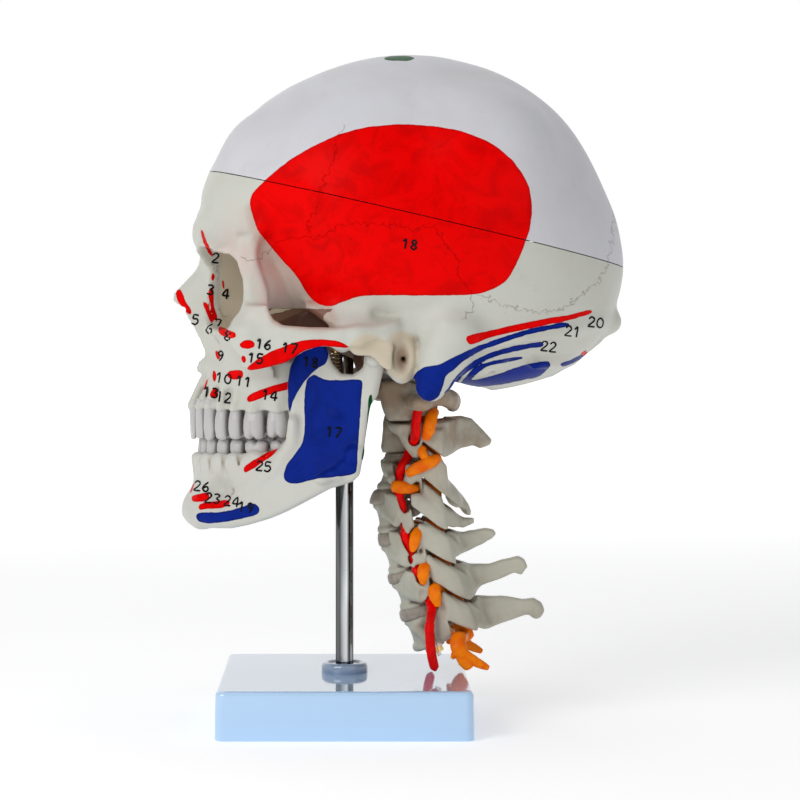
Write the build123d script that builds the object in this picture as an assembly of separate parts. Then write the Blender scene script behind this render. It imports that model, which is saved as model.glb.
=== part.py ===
from build123d import *
import math
import os
from typing import NamedTuple

# Anatomical teaching skull: a two-part cranium with a sprung jaw and a hanging
# cervical column, standing on a chrome post in a small moulded base.
# Frame (mm): origin on the table under the post's axis, +Z up, the face looks
# along -Y, +X is the skull's left side.

os.makedirs("parts", exist_ok=True)

SIDES = (1, -1)              # the skull's left, then its right

# ---------------------------------------------------------------- dimensions
RUN = 0.05                   # radial running clearance

BASE_X, BASE_Y, BASE_H = 125.0, 110.0, 21.0
BASE_DRAFT = 0.8             # how much narrower each way the top is
BASE_WALL = 2.5
INSIDE_X = BASE_X - 2 * BASE_WALL - 1
INSIDE_Y = BASE_Y - 2 * BASE_WALL - 1
SCREW_INSET = 9
CORNERS = [(x * (BASE_X / 2 - SCREW_INSET), y * (BASE_Y / 2 - SCREW_INSET))
           for x in (-1, 1) for y in (-1, 1)]
SCREW_HEAD_TOP = 1.3
WASHER_TOP = 12.0            # also the underside of the base's middle boss
WASHER_BOTTOM = 10.4
NUT_H = 4.8

POST_R = 4.0
STUD_R = 3.0
POST_TOP = 180.0
COLLAR_R = 10.3
SUPPORT_R = 7.0              # support cap that the skull's socket slides on
SUPPORT_BOTTOM = 165.0
SUPPORT_TOP = 184.0
FLANGE_H = 2.0

CUT_ANGLE = math.radians(13.02)  # tilt of the skull-cap cut, falling to the back
CUT_Y, CUT_Z = 30, 222.2         # where the cut frame's origin lies
CUT_GAP = 0.2
WALL = 4.5                       # braincase wall
WIDEST = 14.0                    # distance back along the cut of the widest place
RIM_FRONT, RIM_BACK, RIM_HALF = -92.0, 96.3, 70.0
PIN_R = 1.2

CONDYLE_Y, CONDYLE_Z = 13.0, 162.0   # the condyles' axis
CONDYLE_R = 4.5
EAR_Y = 24.5
SPRING_X, SPRING_Y = 38.0, -4.0
SPRING_BOSS_Z = 168.5        # underside of the cranium's spring bosses

NECK_Y = 38.0                # centre of the foramen magnum

cut_cos, cut_sin = math.cos(CUT_ANGLE), math.sin(CUT_ANGLE)


# ---------------------------------------------------------------- helpers
def cyl(x, y, z0, z1, radius):
    return Pos(x, y, z0) * extrude(Circle(radius), z1 - z0)


def tube(x, y, z0, z1, radius, bore):
    return Pos(x, y, z0) * extrude(Circle(radius) - Circle(bore), z1 - z0)


def box(x0, x1, y0, y1, z0, z1):
    middle = Pos((x0 + x1) / 2, (y0 + y1) / 2, (z0 + z1) / 2)
    return middle * Box(x1 - x0, y1 - y0, z1 - z0)


def span(side, inner, outer):
    """The X range between two distances from the middle, on one side."""
    return sorted((side * inner, side * outer))


def prism(points, length, direction):
    face = Face(Wire.make_polygon([Vector(*p) for p in points], close=True))
    return extrude(face, amount=length, dir=direction)


def yz(points, x0, x1):
    """A side-view outline (Y, Z) run across X."""
    return prism([(x0, y, z) for y, z in points], x1 - x0, (1, 0, 0))


def xy(points, z0, z1):
    """A plan outline (X, Y) run up Z."""
    return prism([(x, y, z0) for x, y in points], z1 - z0, (0, 0, 1))


def xz(points, y0, y1):
    """A front-view outline (X, Z) run back along Y."""
    return prism([(x, y0, z) for x, z in points], y1 - y0, (0, 1, 0))


def mirrored(half):
    """Half an outline closed with its mirror image; middle points stay single."""
    return half + [(-x, other) for x, other in reversed(half) if x != 0]


def flipped(side, points):
    return [(side * x, y) for x, y in points]


def rod(start, end, radius, end_radius=None):
    """A round bar, or a cone, from one point to another."""
    run = Vector(*end) - Vector(*start)
    plane = Plane(origin=start, z_dir=run)
    if end_radius is None:
        return Solid.make_cylinder(radius, run.length, plane)
    return Solid.make_cone(radius, end_radius, run.length, plane)


def largest(shape):
    return max(shape.solids(), key=lambda s: s.volume)


def save(name, *shapes):
    solids = [s for shape in shapes for s in shape.solids()]
    piece = solids[0] if len(solids) == 1 else Compound(children=solids)
    piece.label = name
    export_step(piece, f"parts/{name}.step")


# ---------------------------------------------------------------- the stand
def base_shell():
    taper = math.degrees(math.atan(BASE_DRAFT / BASE_H))
    shell = extrude(RectangleRounded(BASE_X, BASE_Y, 4.0), BASE_H, taper=taper)
    shell = fillet(shell.edges().group_by(Axis.Z)[-1], 2.2)
    shell -= extrude(RectangleRounded(INSIDE_X, INSIDE_Y, 2.5), BASE_H - BASE_WALL)
    for x, y in CORNERS:
        shell += cyl(x, y, 2.6, BASE_H - 1, 3.6)
    shell += cyl(0, 0, WASHER_TOP, BASE_H - 1, 10)
    for x, y in CORNERS:
        shell -= cyl(x, y, 2.0, 14, 1.3)
    shell -= cyl(0, 0, 5, 30, STUD_R + RUN)
    return shell


def base_cover():
    gap = 0.4                # both sides together
    cover = extrude(RectangleRounded(INSIDE_X - gap, INSIDE_Y - gap, 2.3), 2.5)
    for x, y in CORNERS:
        cover -= cyl(x, y, -1, 5, 1.7)
        cover -= cyl(x, y, -1, SCREW_HEAD_TOP, 3.2)
    return cover


def cover_screws():
    return [cyl(x, y, 0.3, SCREW_HEAD_TOP, 2.8) + cyl(x, y, SCREW_HEAD_TOP, 11, 1.25)
            for x, y in CORNERS]


def post_collar():
    bore, z = POST_R + RUN, BASE_H
    with BuildPart() as collar:
        with BuildSketch(Plane.XZ):
            with BuildLine():
                Polyline(
                    (bore, z), (COLLAR_R, z), (COLLAR_R, z + 3.2),
                    (COLLAR_R - 0.5, z + 4.1), (COLLAR_R - 1.3, z + 4.5),
                    (COLLAR_R - 2.2, z + 4.5), (COLLAR_R - 3.4, z + 3.3),
                    (bore, z + 3.3), close=True,
                )
            make_face()
        revolve(axis=Axis.Z)
    return collar.part


def post():
    bar = cyl(0, 0, BASE_H, POST_TOP, POST_R) + cyl(0, 0, 4.6, BASE_H, STUD_R)
    return chamfer(bar.edges().group_by(Axis.Z)[-1], 0.6)


def base_nut():
    hexagon = extrude(RegularPolygon(6.5, 6, major_radius=False), NUT_H)
    nut = Pos(0, 0, WASHER_BOTTOM - NUT_H) * hexagon
    return nut - cyl(0, 0, 0, 20, STUD_R + RUN)


def support_cap():
    """The cap that turns on the post's end, under the skull."""
    cap = cyl(0, 0, SUPPORT_BOTTOM, SUPPORT_BOTTOM + FLANGE_H, 9)
    cap += cyl(0, 0, SUPPORT_BOTTOM, SUPPORT_TOP, SUPPORT_R)
    cap -= cyl(0, 0, SUPPORT_BOTTOM - 1, POST_TOP + RUN, POST_R + RUN)
    return chamfer(cap.edges().group_by(Axis.Z)[-1], 0.8)


save("base_shell", base_shell())
save("base_cover", base_cover())
save("cover_screws", *cover_screws())
save("post_collar", post_collar())
save("post", post())
save("base_washer", tube(0, 0, WASHER_BOTTOM, WASHER_TOP, 9, STUD_R + 0.2))
save("base_nut", base_nut())
save("support_cap", support_cap())

# ---------------------------------------------------------------- braincase
# sections of the braincase: height over the cut, front, back, half width
CAP_SECTIONS = [
    (0, -92.0, 96.3, 70.0), (8, -89.5, 94.5, 71.0), (20, -85, 89, 70.5),
    (32, -78.5, 79.5, 67.0), (44, -67, 70, 59.5), (54, -53, 61, 48.5),
    (62, -39.5, 49, 36.0), (68, -27.5, 36.5, 23.5), (71.3, -12, 24, 11.5),
    (72.5, -2, 14, 5.0),
]
LOW_SECTIONS = [
    (2, -92.0, 96.2, 70.0), (-10, -90.0, 97.5, 70.0), (-22, -80, 97.0, 68.5),
    (-34, -62, 93.0, 65.0), (-46, -48, 87.0, 60.0), (-56, -40, 72.0, 50.0),
    (-63.5, -14, 57.0, 36.0),
]


def cut_point(x, back, height):
    """A point given in the cut plane's frame: back along it, height normal to it."""
    return (x, CUT_Y + back * cut_cos + height * cut_sin,
            CUT_Z - back * cut_sin + height * cut_cos)


CUT_PLANE = Plane(origin=cut_point(0, 0, 0), x_dir=(1, 0, 0), z_dir=(0, cut_sin, cut_cos))


def egg(height, front, back, half_width, count=20):
    """A closed egg outline parallel to the cut."""
    points = []
    for i in range(count):
        angle = 2 * math.pi * i / count
        c = math.cos(angle)
        reach = back - WIDEST if c > 0 else WIDEST - front
        points.append(Vector(*cut_point(half_width * math.sin(angle), WIDEST + reach * c, height)))
    return Wire([Edge.make_spline(points, periodic=True)])


def egg_loft(sections):
    return Solid.make_loft([egg(*section) for section in sections])


# locating pins across the cut: x, distance back
PIN_BACK = 50.0
PIN_X = RIM_HALF * math.sqrt(1 - ((PIN_BACK - WIDEST) / (RIM_BACK - WIDEST)) ** 2) - 2.45
PINS = [(0.0, RIM_FRONT + WALL / 2 + 0.1), (PIN_X, PIN_BACK), (-PIN_X, PIN_BACK)]


def pin_rods(bottom, top, radius):
    return [rod(cut_point(x, back, bottom), cut_point(x, back, top), radius)
            for x, back in PINS]


def locating_pins():
    return pin_rods(-5.0, 3.0, PIN_R)


def calvaria():
    inner = [(-3, RIM_FRONT + WALL, 96 - WALL, RIM_HALF - WALL)] + [
        (height - 4.3, front + WALL, back - WALL, half - WALL)
        for height, front, back, half in CAP_SECTIONS[1:-1]]
    cap = egg_loft(CAP_SECTIONS) - egg_loft(inner)
    cap = largest(split(cap, CUT_PLANE.offset(CUT_GAP / 2), keep=Keep.TOP))
    for hole in pin_rods(-2, 3.4, PIN_R + RUN):
        cap -= hole
    return cap


# ---------------------------------------------------------------- cranium
# side view of the face (Y, Z): down the profile, then up behind it
FACE_SIDE = [
    (-61.5, 230), (-64.8, 226), (-66.6, 219), (-66.2, 215), (-63.5, 207), (-64.8, 201.5),
    (-67, 197.9), (-70.6, 194.4), (-74.6, 190.8), (-75, 187.3), (-73.7, 183.7),
    (-69.7, 180.1), (-66.6, 173), (-63.5, 165.9), (-61.5, 159.5), (-65.2, 155.2),
    (-62.6, 148), (-65.5, 139), (-22, 139), (-20, 150), (-24, 160), (-27, 165),
    (-27, 205), (-40, 230),
]
# front view (X, Z), right half
FACE_FRONT = [
    (-18, 230), (-40, 222), (-51, 208), (-50, 195), (-55, 182), (-61, 176), (-60, 168),
    (-52, 163), (-42, 163), (-33, 152), (-31, 139),
]
# plans (X, Y), left half: the face, and the upper jaw below it
FACE_PLAN = [(0, -77), (5, -74), (9, -67), (20, -63.5), (28, -57), (38, -50), (47, -43.5),
             (54, -36), (61, -27)]
UPPER_JAW_PLAN = [(0, -67), (8, -66), (16, -62), (24, -54), (29, -44), (33, -30), (33, -18)]
# plan of the cheek's arch (X, Y): a thin band from the cheekbone to over the ear
CHEEK_ARCH = [(50, -38), (57, -32), (62, -20), (65, -6), (65, 8), (62, 22), (52, 30),
              (52, 14), (59.5, 8), (60.5, -5), (58, -18), (53.5, -28), (46, -33)]
# nasal opening (X, Z), left half
NOSE = [(0, 186.5), (5, 183), (9, 172), (12, 164), (10.5, 158.5), (0, 157.5)]
ORBIT_TURN = 0.36            # sideways slope of the eye sockets' axes
# eye socket ellipses: depth along the axis, half width, half height
ORBIT_SECTIONS = [(0, 22, 17.5), (24, 18.5, 15.6), (48, 6, 6)]


def face_block():
    """The face's side, front and plan outlines meet in one block."""
    outline = yz(FACE_SIDE, -70, 70) & xz(mirrored(FACE_FRONT), -80, -15)
    plans = xy(mirrored(FACE_PLAN), 160, 232) + xy(mirrored(UPPER_JAW_PLAN), 138, 161)
    return outline & plans


def skull_base(side):
    """The solid pieces of one side, in the order they are joined."""
    return [
        xy(flipped(side, CHEEK_ARCH), 167, 175),
        # root of the arch over the jaw joint and the ear
        box(*span(side, 40, 61), 7, 44, 168.5, 184),
        # the mastoid process and the ear's bony ring
        rod((side * 51, 37, 172), (side * 52, 36, 144), 11, 4.5),
        Pos(side * 44, EAR_Y, 162) * Rot(0, 90 * side, 0) * extrude(Ellipse(10, 4.8), 16),
        # petrous part towards the middle, condyle beside the foramen magnum
        rod((side * 48, 31, 166), (side * 14, 16, 168), 9, 7),
        rod((side * 16, 31, 151), (side * 17, 31, 163), 5.5, 8),
        # upright plate behind the upper jaw
        box(*span(side, 11, 14.5), -27, -14, 149, 168),
    ]


def eye_socket(side):
    """Narrows back towards the middle."""
    mouth = Plane(origin=Vector(side * 34.5, -66, 191.5), x_dir=(1, side * ORBIT_TURN, 0),
                  z_dir=Vector(-side * ORBIT_TURN, 1, 0.0).normalized())
    return Solid.make_loft([(mouth.offset(depth) * Ellipse(half_width, half_height)).wire()
                            for depth, half_width, half_height in ORBIT_SECTIONS])


def cranium():
    cavity = egg_loft(
        [(5, RIM_FRONT + WALL, RIM_BACK - WALL, RIM_HALF - WALL)]
        + [(height + 5.5, front + 5, back - WALL, half - WALL)
           for height, front, back, half in LOW_SECTIONS[1:]])
    skull = egg_loft(LOW_SECTIONS) + face_block()
    skull += box(-15, 15, -30, 6, 166, 186)
    for side in SIDES:
        for piece in skull_base(side):
            skull += piece
    skull -= cavity
    # boss over the post's socket, added after the cavity so it stands inside it
    skull += cyl(0, 0, 168, 189, 12)
    for side in SIDES:
        skull -= eye_socket(side)
        # ear canal, jaw joint hollow
        canal = extrude(Ellipse(6.5, 2.6), 20)
        skull -= Pos(side * 50, EAR_Y, 163) * Rot(0, 90 * side, 0) * canal
        skull -= rod((side * 38, CONDYLE_Y, CONDYLE_Z), (side * 66, CONDYLE_Y, CONDYLE_Z),
                     CONDYLE_R + 1.3)
    # nasal opening, the roof of the mouth, foramen magnum and the post's socket
    skull -= xz(mirrored(NOSE), -80, -31)
    skull -= Pos(0, -32, 138) * extrude(Ellipse(18.5, 19), 13)
    skull -= cyl(0, NECK_Y, 140, 176, 15.5)
    skull -= cyl(0, 0, 150, SUPPORT_BOTTOM + FLANGE_H + RUN, 10.2)
    skull -= cyl(0, 0, 150, SUPPORT_TOP + 0.2, SUPPORT_R + RUN)
    for pin in locating_pins():
        skull -= pin
    # bosses that carry the jaw springs' upper screws
    for side in SIDES:
        skull += cyl(side * SPRING_X, SPRING_Y, SPRING_BOSS_Z, 182, 4)
    return largest(split(skull, CUT_PLANE.offset(-CUT_GAP / 2), keep=Keep.BOTTOM))


save("calvaria", calvaria())
save("locating_pins", *locating_pins())
save("cranium", cranium())

# ---------------------------------------------------------------- teeth
# one side from the middle back: width along the arch, depth of the block
UPPER_TEETH = [(8.4, 3.2), (6.8, 3.2), (7.6, 7.4), (6.8, 8.4), (6.8, 8.6), (10.0, 10.4),
               (9.6, 10.4)]
LOWER_TEETH = [(5.3, 3.2), (5.8, 3.2), (6.8, 7.0), (7.0, 7.4), (7.1, 7.6), (11.0, 9.8),
               (10.6, 9.6)]
TOOTH_GAP = 0.25
INCISORS = 2                 # per side


def dental_arch(half_width, front_y, depth, steps=400):
    """Points of a parabola-like arch from the middle back, and the length to each."""
    points = []
    for i in range(steps + 1):
        angle = i / steps * math.pi / 2
        points.append((half_width * math.sin(angle),
                       front_y + depth * (1 - math.cos(angle)) ** 0.92))
    lengths = [0.0]
    for a, b in zip(points, points[1:]):
        lengths.append(lengths[-1] + math.dist(a, b))
    return points, lengths


def teeth(sizes, half_width, front_y, arch_depth, root_z, tip_z, incisor_tip_z):
    points, lengths = dental_arch(half_width, front_y, arch_depth)
    made = []
    walked = 0.0
    for i, (width, depth) in enumerate(sizes):
        middle = min(walked + width / 2, lengths[-1])
        walked += width
        k = next(j for j, length in enumerate(lengths) if length >= middle)
        before, after = points[max(k - 3, 0)], points[min(k + 3, len(points) - 1)]
        angle = math.degrees(math.atan2(after[1] - before[1], after[0] - before[0]))
        tip = incisor_tip_z if i < INCISORS else tip_z
        tooth = Box(width - TOOTH_GAP, depth, abs(tip - root_z),
                    align=(Align.CENTER, Align.MIN, Align.MIN))
        tooth = Pos(*points[k], min(root_z, tip)) * Rot(0, 0, angle) * tooth
        made += [tooth, mirror(tooth, Plane.YZ)]
    return made


save("upper_teeth", *teeth(UPPER_TEETH, half_width=31.0, front_y=-66.0, arch_depth=43.0,
                           root_z=138.95, tip_z=127.2, incisor_tip_z=125.4))
save("lower_teeth", *teeth(LOWER_TEETH, half_width=28.6, front_y=-61.5, arch_depth=39.5,
                           root_z=118.05, tip_z=126.8, incisor_tip_z=127.4))

# ---------------------------------------------------------------- mandible
# side view (Y, Z): down the chin, back underneath, up to the condyle and forward
JAW_SIDE = [
    (-66.2, 118), (-65.8, 109), (-68.6, 101.8), (-71, 94.7), (-71, 91.1), (-67.9, 87.6),
    (-64, 86.7), (-49, 86.7), (-42, 88.5), (-31, 92), (-17, 99), (-6, 105), (4.5, 109.4),
    (7.5, 113), (10.5, 130), (14.0, 150), (16.8, 160), (9.5, 161), (3.5, 157), (-3, 155),
    (-10, 157), (-17, 165.5), (-23, 164), (-24.6, 150), (-24.0, 136), (-20.5, 127),
    (-17, 118),
]
# plan (X, Y), left half: back along the outside, forward along the inside
JAW_PLAN = [
    (0, -71.5), (10, -70), (19, -65.5), (27, -56), (33, -44), (39, -33), (45, -24),
    (49, -12), (51, 0), (52, 18),
    (46, 18), (45, 2), (42.5, -10), (38.5, -20), (36, -26), (28, -33), (22, -43),
    (17.5, -51), (11, -57.5), (0, -60),
]


def mandible():
    jaw = yz(JAW_SIDE, -70, 70) & xy(mirrored(JAW_PLAN), 80, 170)
    for side in SIDES:
        jaw += rod((side * 41, CONDYLE_Y, CONDYLE_Z), (side * 57, CONDYLE_Y, CONDYLE_Z),
                   CONDYLE_R)
    jaw = largest(jaw)
    # inner bosses that carry the springs' lower screws
    for side in SIDES:
        jaw += rod((side * 47, SPRING_Y, 143), (side * 36.5, SPRING_Y, 143), 2.6)
    return jaw


def upper_spring_screw(x):
    head_z, shank_r = 167.3, 1.2
    return (cyl(x, SPRING_Y, head_z, SPRING_BOSS_Z, 3.2)
            + cyl(x, SPRING_Y, 163.5, head_z, shank_r))


spring_places = [side * SPRING_X for side in SIDES]
save("mandible", mandible())
save("jaw_springs", *[tube(x, SPRING_Y, 145.8, 167.2, 2.4, 1.7) for x in spring_places])
save("spring_screws_upper", *[upper_spring_screw(x) for x in spring_places])
save("spring_screws_lower", *[cyl(x, SPRING_Y, 145.65, 149.5, 1.2) for x in spring_places])


# ---------------------------------------------------------------- neck
class Body(NamedTuple):
    y: float                 # centre
    z: float
    tilt: float              # backward rise of its plates, degrees
    height: float


BODIES = {
    2: Body(24.0, 125.1, 0.0, 13.0),
    3: Body(24.0, 110.0, 6.0, 12.6),
    4: Body(23.2, 91.0, 11.0, 11.8),
    5: Body(26.6, 73.2, 17.0, 11.6),
    6: Body(31.4, 57.2, 20.0, 11.4),
    7: Body(37.0, 40.0, 20.0, 12.8),
}
# tips of the spinous processes (Y, Z)
SPINE_TIPS = {3: (55.0, 92.8), 4: (58.6, 85.2), 5: (66.0, 82.4), 6: (79.5, 67.5),
              7: (86.5, 49.5)}
# facet joint under each vertebra: its middle in side view (Y, Z), its fall to
# the back in degrees
FACETS = {2: (40.0, 119.0, 38), 3: (39.0, 104.0, 40), 4: (40.0, 87.5, 36),
          5: (44.5, 71.5, 30), 6: (49.5, 56.5, 28), 7: (54.5, 41.5, 24)}
BODY_X, BODY_Y = 9.5, 8.2    # half width, half depth of a body
DISC_RIM = 0.7               # how far a disc stands past the body
DISC_GAP = 0.6
FACET_GAP = 1.1
PILLAR_FRONT, PILLAR_BACK = 12.0, 21.0
SPINE_ROOT_R, SPINE_TIP_R = 4.1, 2.9
ARTERY_X, ARTERY_Y = 16.5, 0.9
ARTERY_R = 1.8
ARTERY_HOLE_R = 2.7
DENS_Y = 22.6                # the axis's tooth
AXIS_ARTERY_Y = 27.6
ATLAS_ARTERY = (26.0, 32.4)
# lamina in plan (X, Y), left half, from the middle out to the pillar and back
LAMINA = [(0, 26.5), (0, 22.0), (9, 18.5), (12.0, 15.0), (18.0, 16.5), (14, 21.5), (6, 25.5)]


def turned(y0, z0, tilt, x, y, z):
    """A point of a frame at (y0, z0) whose back rises by tilt degrees."""
    a = math.radians(tilt)
    return (x, y0 + y * math.cos(a) - z * math.sin(a), z0 + y * math.sin(a) + z * math.cos(a))


def at_body(level, x, y, z):
    body = BODIES[level]
    return turned(body.y, body.z, body.tilt, x, y, z)


def upward(level):
    """The body's axis in side view (Y, Z)."""
    a = math.radians(BODIES[level].tilt)
    return (-math.sin(a), math.cos(a))


def body_plane(level, height):
    return Plane(origin=at_body(level, 0, 0, height), x_dir=(1, 0, 0),
                 z_dir=(0, *upward(level)))


# lines in side view are held as (point, direction), each (Y, Z)
def meet(line, other):
    """Where two side-view lines cross."""
    (p, d), (q, e) = line, other
    det = d[0] * -e[1] + d[1] * e[0]
    k = ((q[0] - p[0]) * -e[1] + (q[1] - p[1]) * e[0]) / det
    return (p[0] + d[0] * k, p[1] + d[1] * k)


def upright(level, y):
    return at_body(level, 0, y, 0)[1:], upward(level)


def facet_line(level, gap):
    """The facet joint under a vertebra, moved up by the gap along its normal."""
    y, z, fall = FACETS[level]
    a = math.radians(fall)
    return (y + math.sin(a) * gap, z + math.cos(a) * gap), (math.cos(a), -math.sin(a))


def spine(level):
    return at_body(level, 0, 24.8, -2.0), (0, *SPINE_TIPS[level])


def vertebra(level):
    height = BODIES[level].height
    up = upward(level)
    top = facet_line(level - 1, -FACET_GAP / 2)
    bottom = facet_line(level, FACET_GAP / 2)
    front, back = upright(level, PILLAR_FRONT), upright(level, PILLAR_BACK)
    # articular pillars between the facet joint above and the one below
    pillar = [meet(front, top), meet(back, top), meet(back, bottom), meet(front, bottom)]

    bone = extrude(body_plane(level, -height / 2) * Ellipse(BODY_X, BODY_Y), height)
    for side in SIDES:
        bone += yz(pillar, *span(side, 11.5, 20.5))
        # pedicle and transverse process with its artery hole
        plane = body_plane(level, -2.0)
        bone += extrude(plane * Pos(side * 10.0, 8.5) * Rectangle(9, 9.5), 5)
        bone += extrude(plane * Pos(side * ARTERY_X, 1.4) * RectangleRounded(15, 9.5, 3), 4.4)
        lamina = [at_body(level, x, y, -6.0) for x, y in flipped(side, LAMINA)]
        bone += prism(lamina, 8.5, (0, *up))
        bone -= rod(at_body(level, side * ARTERY_X, ARTERY_Y, -12),
                    at_body(level, side * ARTERY_X, ARTERY_Y, 12), ARTERY_HOLE_R)
    bone += rod(*spine(level), SPINE_ROOT_R, SPINE_TIP_R)

    # nothing stands past the facet joints, or in the way of the spine above
    far = upright(level, PILLAR_BACK + 9)
    for joint, reach, lead in ((top, 14, 1.5), (bottom, -14, 5.5)):
        near_end = meet(upright(level, PILLAR_FRONT - lead), joint)
        far_end = meet(far, joint)
        block = [near_end, far_end] + [(y + up[0] * reach, z + up[1] * reach)
                                       for y, z in (far_end, near_end)]
        for side in SIDES:
            bone -= yz(block, *span(side, 9.2, 24))
    if level > 3:
        root, tip = spine(level - 1)
        length = math.dist(root, tip)
        past = tuple(b + (b - a) * 2.5 / length for a, b in zip(root, tip))
        bone -= rod(root, past, SPINE_ROOT_R + 2.7, SPINE_TIP_R + 2.4)
    return largest(bone)


def axis():
    """C2: body, tooth, shoulders, arch and its broad spine."""
    body = BODIES[2]
    bone = Pos(0, body.y, body.z - body.height / 2) * extrude(Ellipse(9.0, 7.6), body.height)
    bone += cyl(0, DENS_Y, 128, 147, 4.1)
    joint = facet_line(2, FACET_GAP / 2)
    front, back, top = 34, 43.5, 131
    pillar = [(front, top), (back, top), meet(((back, 0), (0, 1)), joint),
              meet(((front, 0), (0, 1)), joint)]
    arch = [(0, 50), (0, 45.0), (9, 41), (12, 37), (18, 39), (14, 45), (6, 49)]
    for side in SIDES:
        bone += cyl(side * 14.5, 27.5, 127.5, 136.0, 7.8)
        bone += box(*span(side, 5, 13), 22, 31, 120.5, 131)
        bone += yz(pillar, *span(side, 11.5, 20.0))
        bone += box(*span(side, 10.5, 19.5), 29, 36, 126.5, 131.0)
        bone += box(*span(side, 9, 23), 24, 32, 121.5, 126.5)
        bone += xy(flipped(side, arch), 122.5, 132.5)
        bone -= rod((side * ARTERY_X, AXIS_ARTERY_Y, 112), (side * ARTERY_X, AXIS_ARTERY_Y, 141),
                    ARTERY_HOLE_R)
    bone += yz([(45.5, 133.5), (53, 134.0), (60, 128), (65, 121), (62, 118.5), (56, 118.5),
                (50, 121), (45.5, 122.5)], -3.6, 3.6)
    return largest(bone)


def atlas():
    """C1: a ring without a body."""
    x, y = ATLAS_ARTERY
    bone = Pos(0, 33.0, 139.6) * extrude(Ellipse(22, 18.6) - Ellipse(15.5, 15.0), 5.6)
    for side in SIDES:
        bone += cyl(side * 15.8, 29.5, 137.3, 148.2, 6.8)
        bone += box(*span(side, 19, 37), 27.5, 36.5, 139.6, 144.4)
        bone -= rod((side * x, y, 130), (side * x, y, 152), 2.9)
    bone += box(-4, 4, 13.6, 18, 141, 147.5)
    bone -= cyl(0, DENS_Y, 130, 160, 4.7)
    bone -= cyl(0, 37.5, 130, 160, 9.8)
    return largest(bone)


def disc_under(level):
    """The disc fixed under a vertebra, cut off just over the next one."""
    up = upward(level)
    start = Plane(origin=at_body(level, 0, 0, -BODIES[level].height / 2), x_dir=(1, 0, 0),
                  z_dir=(0, -up[0], -up[1]))
    disc = extrude(start * Ellipse(BODY_X + DISC_RIM, BODY_Y + DISC_RIM), 16)
    cutter = body_plane(level + 1, BODIES[level + 1].height / 2 + DISC_GAP)
    return largest(split(disc, cutter, keep=Keep.TOP))


for level in SPINE_TIPS:
    save(f"c{level}_vertebra", vertebra(level))
save("c2_axis", axis())
save("c1_atlas", atlas())
# the plug that hangs the column in the foramen magnum
save("neck_plug", cyl(0, NECK_Y, 151.5, 158, 14.2) + cyl(0, NECK_Y, 149.6, 151.5, 8))
for level in range(2, 7):
    save(f"disc_c{level}_c{level + 1}", disc_under(level))

# ---------------------------------------------------------------- nerves, arteries
# ends of the spinal cord's lengths (Y, Z), one length per vertebra
CORD = [(NECK_Y, 148.4), (37.4, 133.6), (38.8, 116.5), (39.2, 101.5), (40.6, 84.0),
        (44.0, 67.5), (49.5, 51.0), (54.0, 36.0)]
CORD_TRIM = 0.95             # taken off each end of a length


def at_disc(level, x, y, z):
    """A point in the frame of the disc under a vertebra."""
    upper, lower = BODIES[level], BODIES[level + 1]
    return turned((upper.y + lower.y) / 2, (upper.z + lower.z) / 2,
                  (upper.tilt + lower.tilt) / 2, x, y, z)


def root_lines(level, side):
    if level == 1:
        return [((side * 2, 38.5, 135.6), (side * 23, 39.8, 135.2))]
    if level == 7:
        return [((side * 2, 53.0, 38.0), (side * 25, 50.5, 33.0)),
                ((side * 24, 50.4, 33.4), (side * 27.5, 54.8, 26.5))]
    return [(at_disc(level, side * 2, 13.4, 0.3), at_disc(level, side * 21.5, 2.3, -1.3))]


def spinal_nerves(level):
    """A length of cord with its paired nerve roots."""
    (y0, z0), (y1, z1) = CORD[level - 1], CORD[level]
    trim = CORD_TRIM / math.dist((y0, z0), (y1, z1))
    dy, dz = (y1 - y0) * trim, (z1 - z0) * trim
    nerves = rod((0, y0 + dy, z0 + dz), (0, y1 - dy, z1 - dz), 4.2)
    for side in SIDES:
        for start, end in root_lines(level, side):
            nerves += rod(start, end, 1.6)
    return nerves


# left artery's straight length through each transverse hole: top, bottom
ARTERIES = {
    1: ((*ATLAS_ARTERY, 146.0), (*ATLAS_ARTERY, 137.8)),
    2: ((ARTERY_X, AXIS_ARTERY_Y, 135.6), (ARTERY_X, AXIS_ARTERY_Y, 121.0)),
    **{level: tuple(at_body(level, ARTERY_X, ARTERY_Y, z) for z in (7.8, -7.8))
       for level in range(3, 7)},
    7: ((26.3, 35.9, 50.0), (26.3, 40.0, 25.0)),
}

for level in range(1, 8):
    save(f"spinal_nerves_c{level}", spinal_nerves(level))
for level, (top, bottom) in ARTERIES.items():
    save(f"vertebral_arteries_c{level}",
         *[rod((side * top[0], *top[1:]), (side * bottom[0], *bottom[1:]), ARTERY_R)
           for side in SIDES])


# ---------------------------------------------------------------- core end
def core_point(depth):
    """A point on the flexible core, at a depth below the last vertebra."""
    return at_body(7, 0, 0.5, -BODIES[7].height / 2 - depth)


WASHER_DEPTH, NUT_DEPTH, ROD_DEPTH = 1.9, 4.6, 6.5
save("core_washer", rod(core_point(0), core_point(WASHER_DEPTH), 4.6))
save("core_nut", rod(core_point(WASHER_DEPTH), core_point(NUT_DEPTH), 3.2))
save("core_rod_end", rod(core_point(NUT_DEPTH), core_point(ROD_DEPTH), 1.5))
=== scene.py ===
"""Anatomical teaching skull with its neck bones, standing on a post and base.

Shapes are worked out in millimetres in the frame's own axes and written to Blender in
metres. +Z is up, the face looks along -Y and +X is the skull's left side. Bone is
modelled as fields of distances (negative inside) that are then meshed.
"""
import math
from collections import namedtuple

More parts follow.
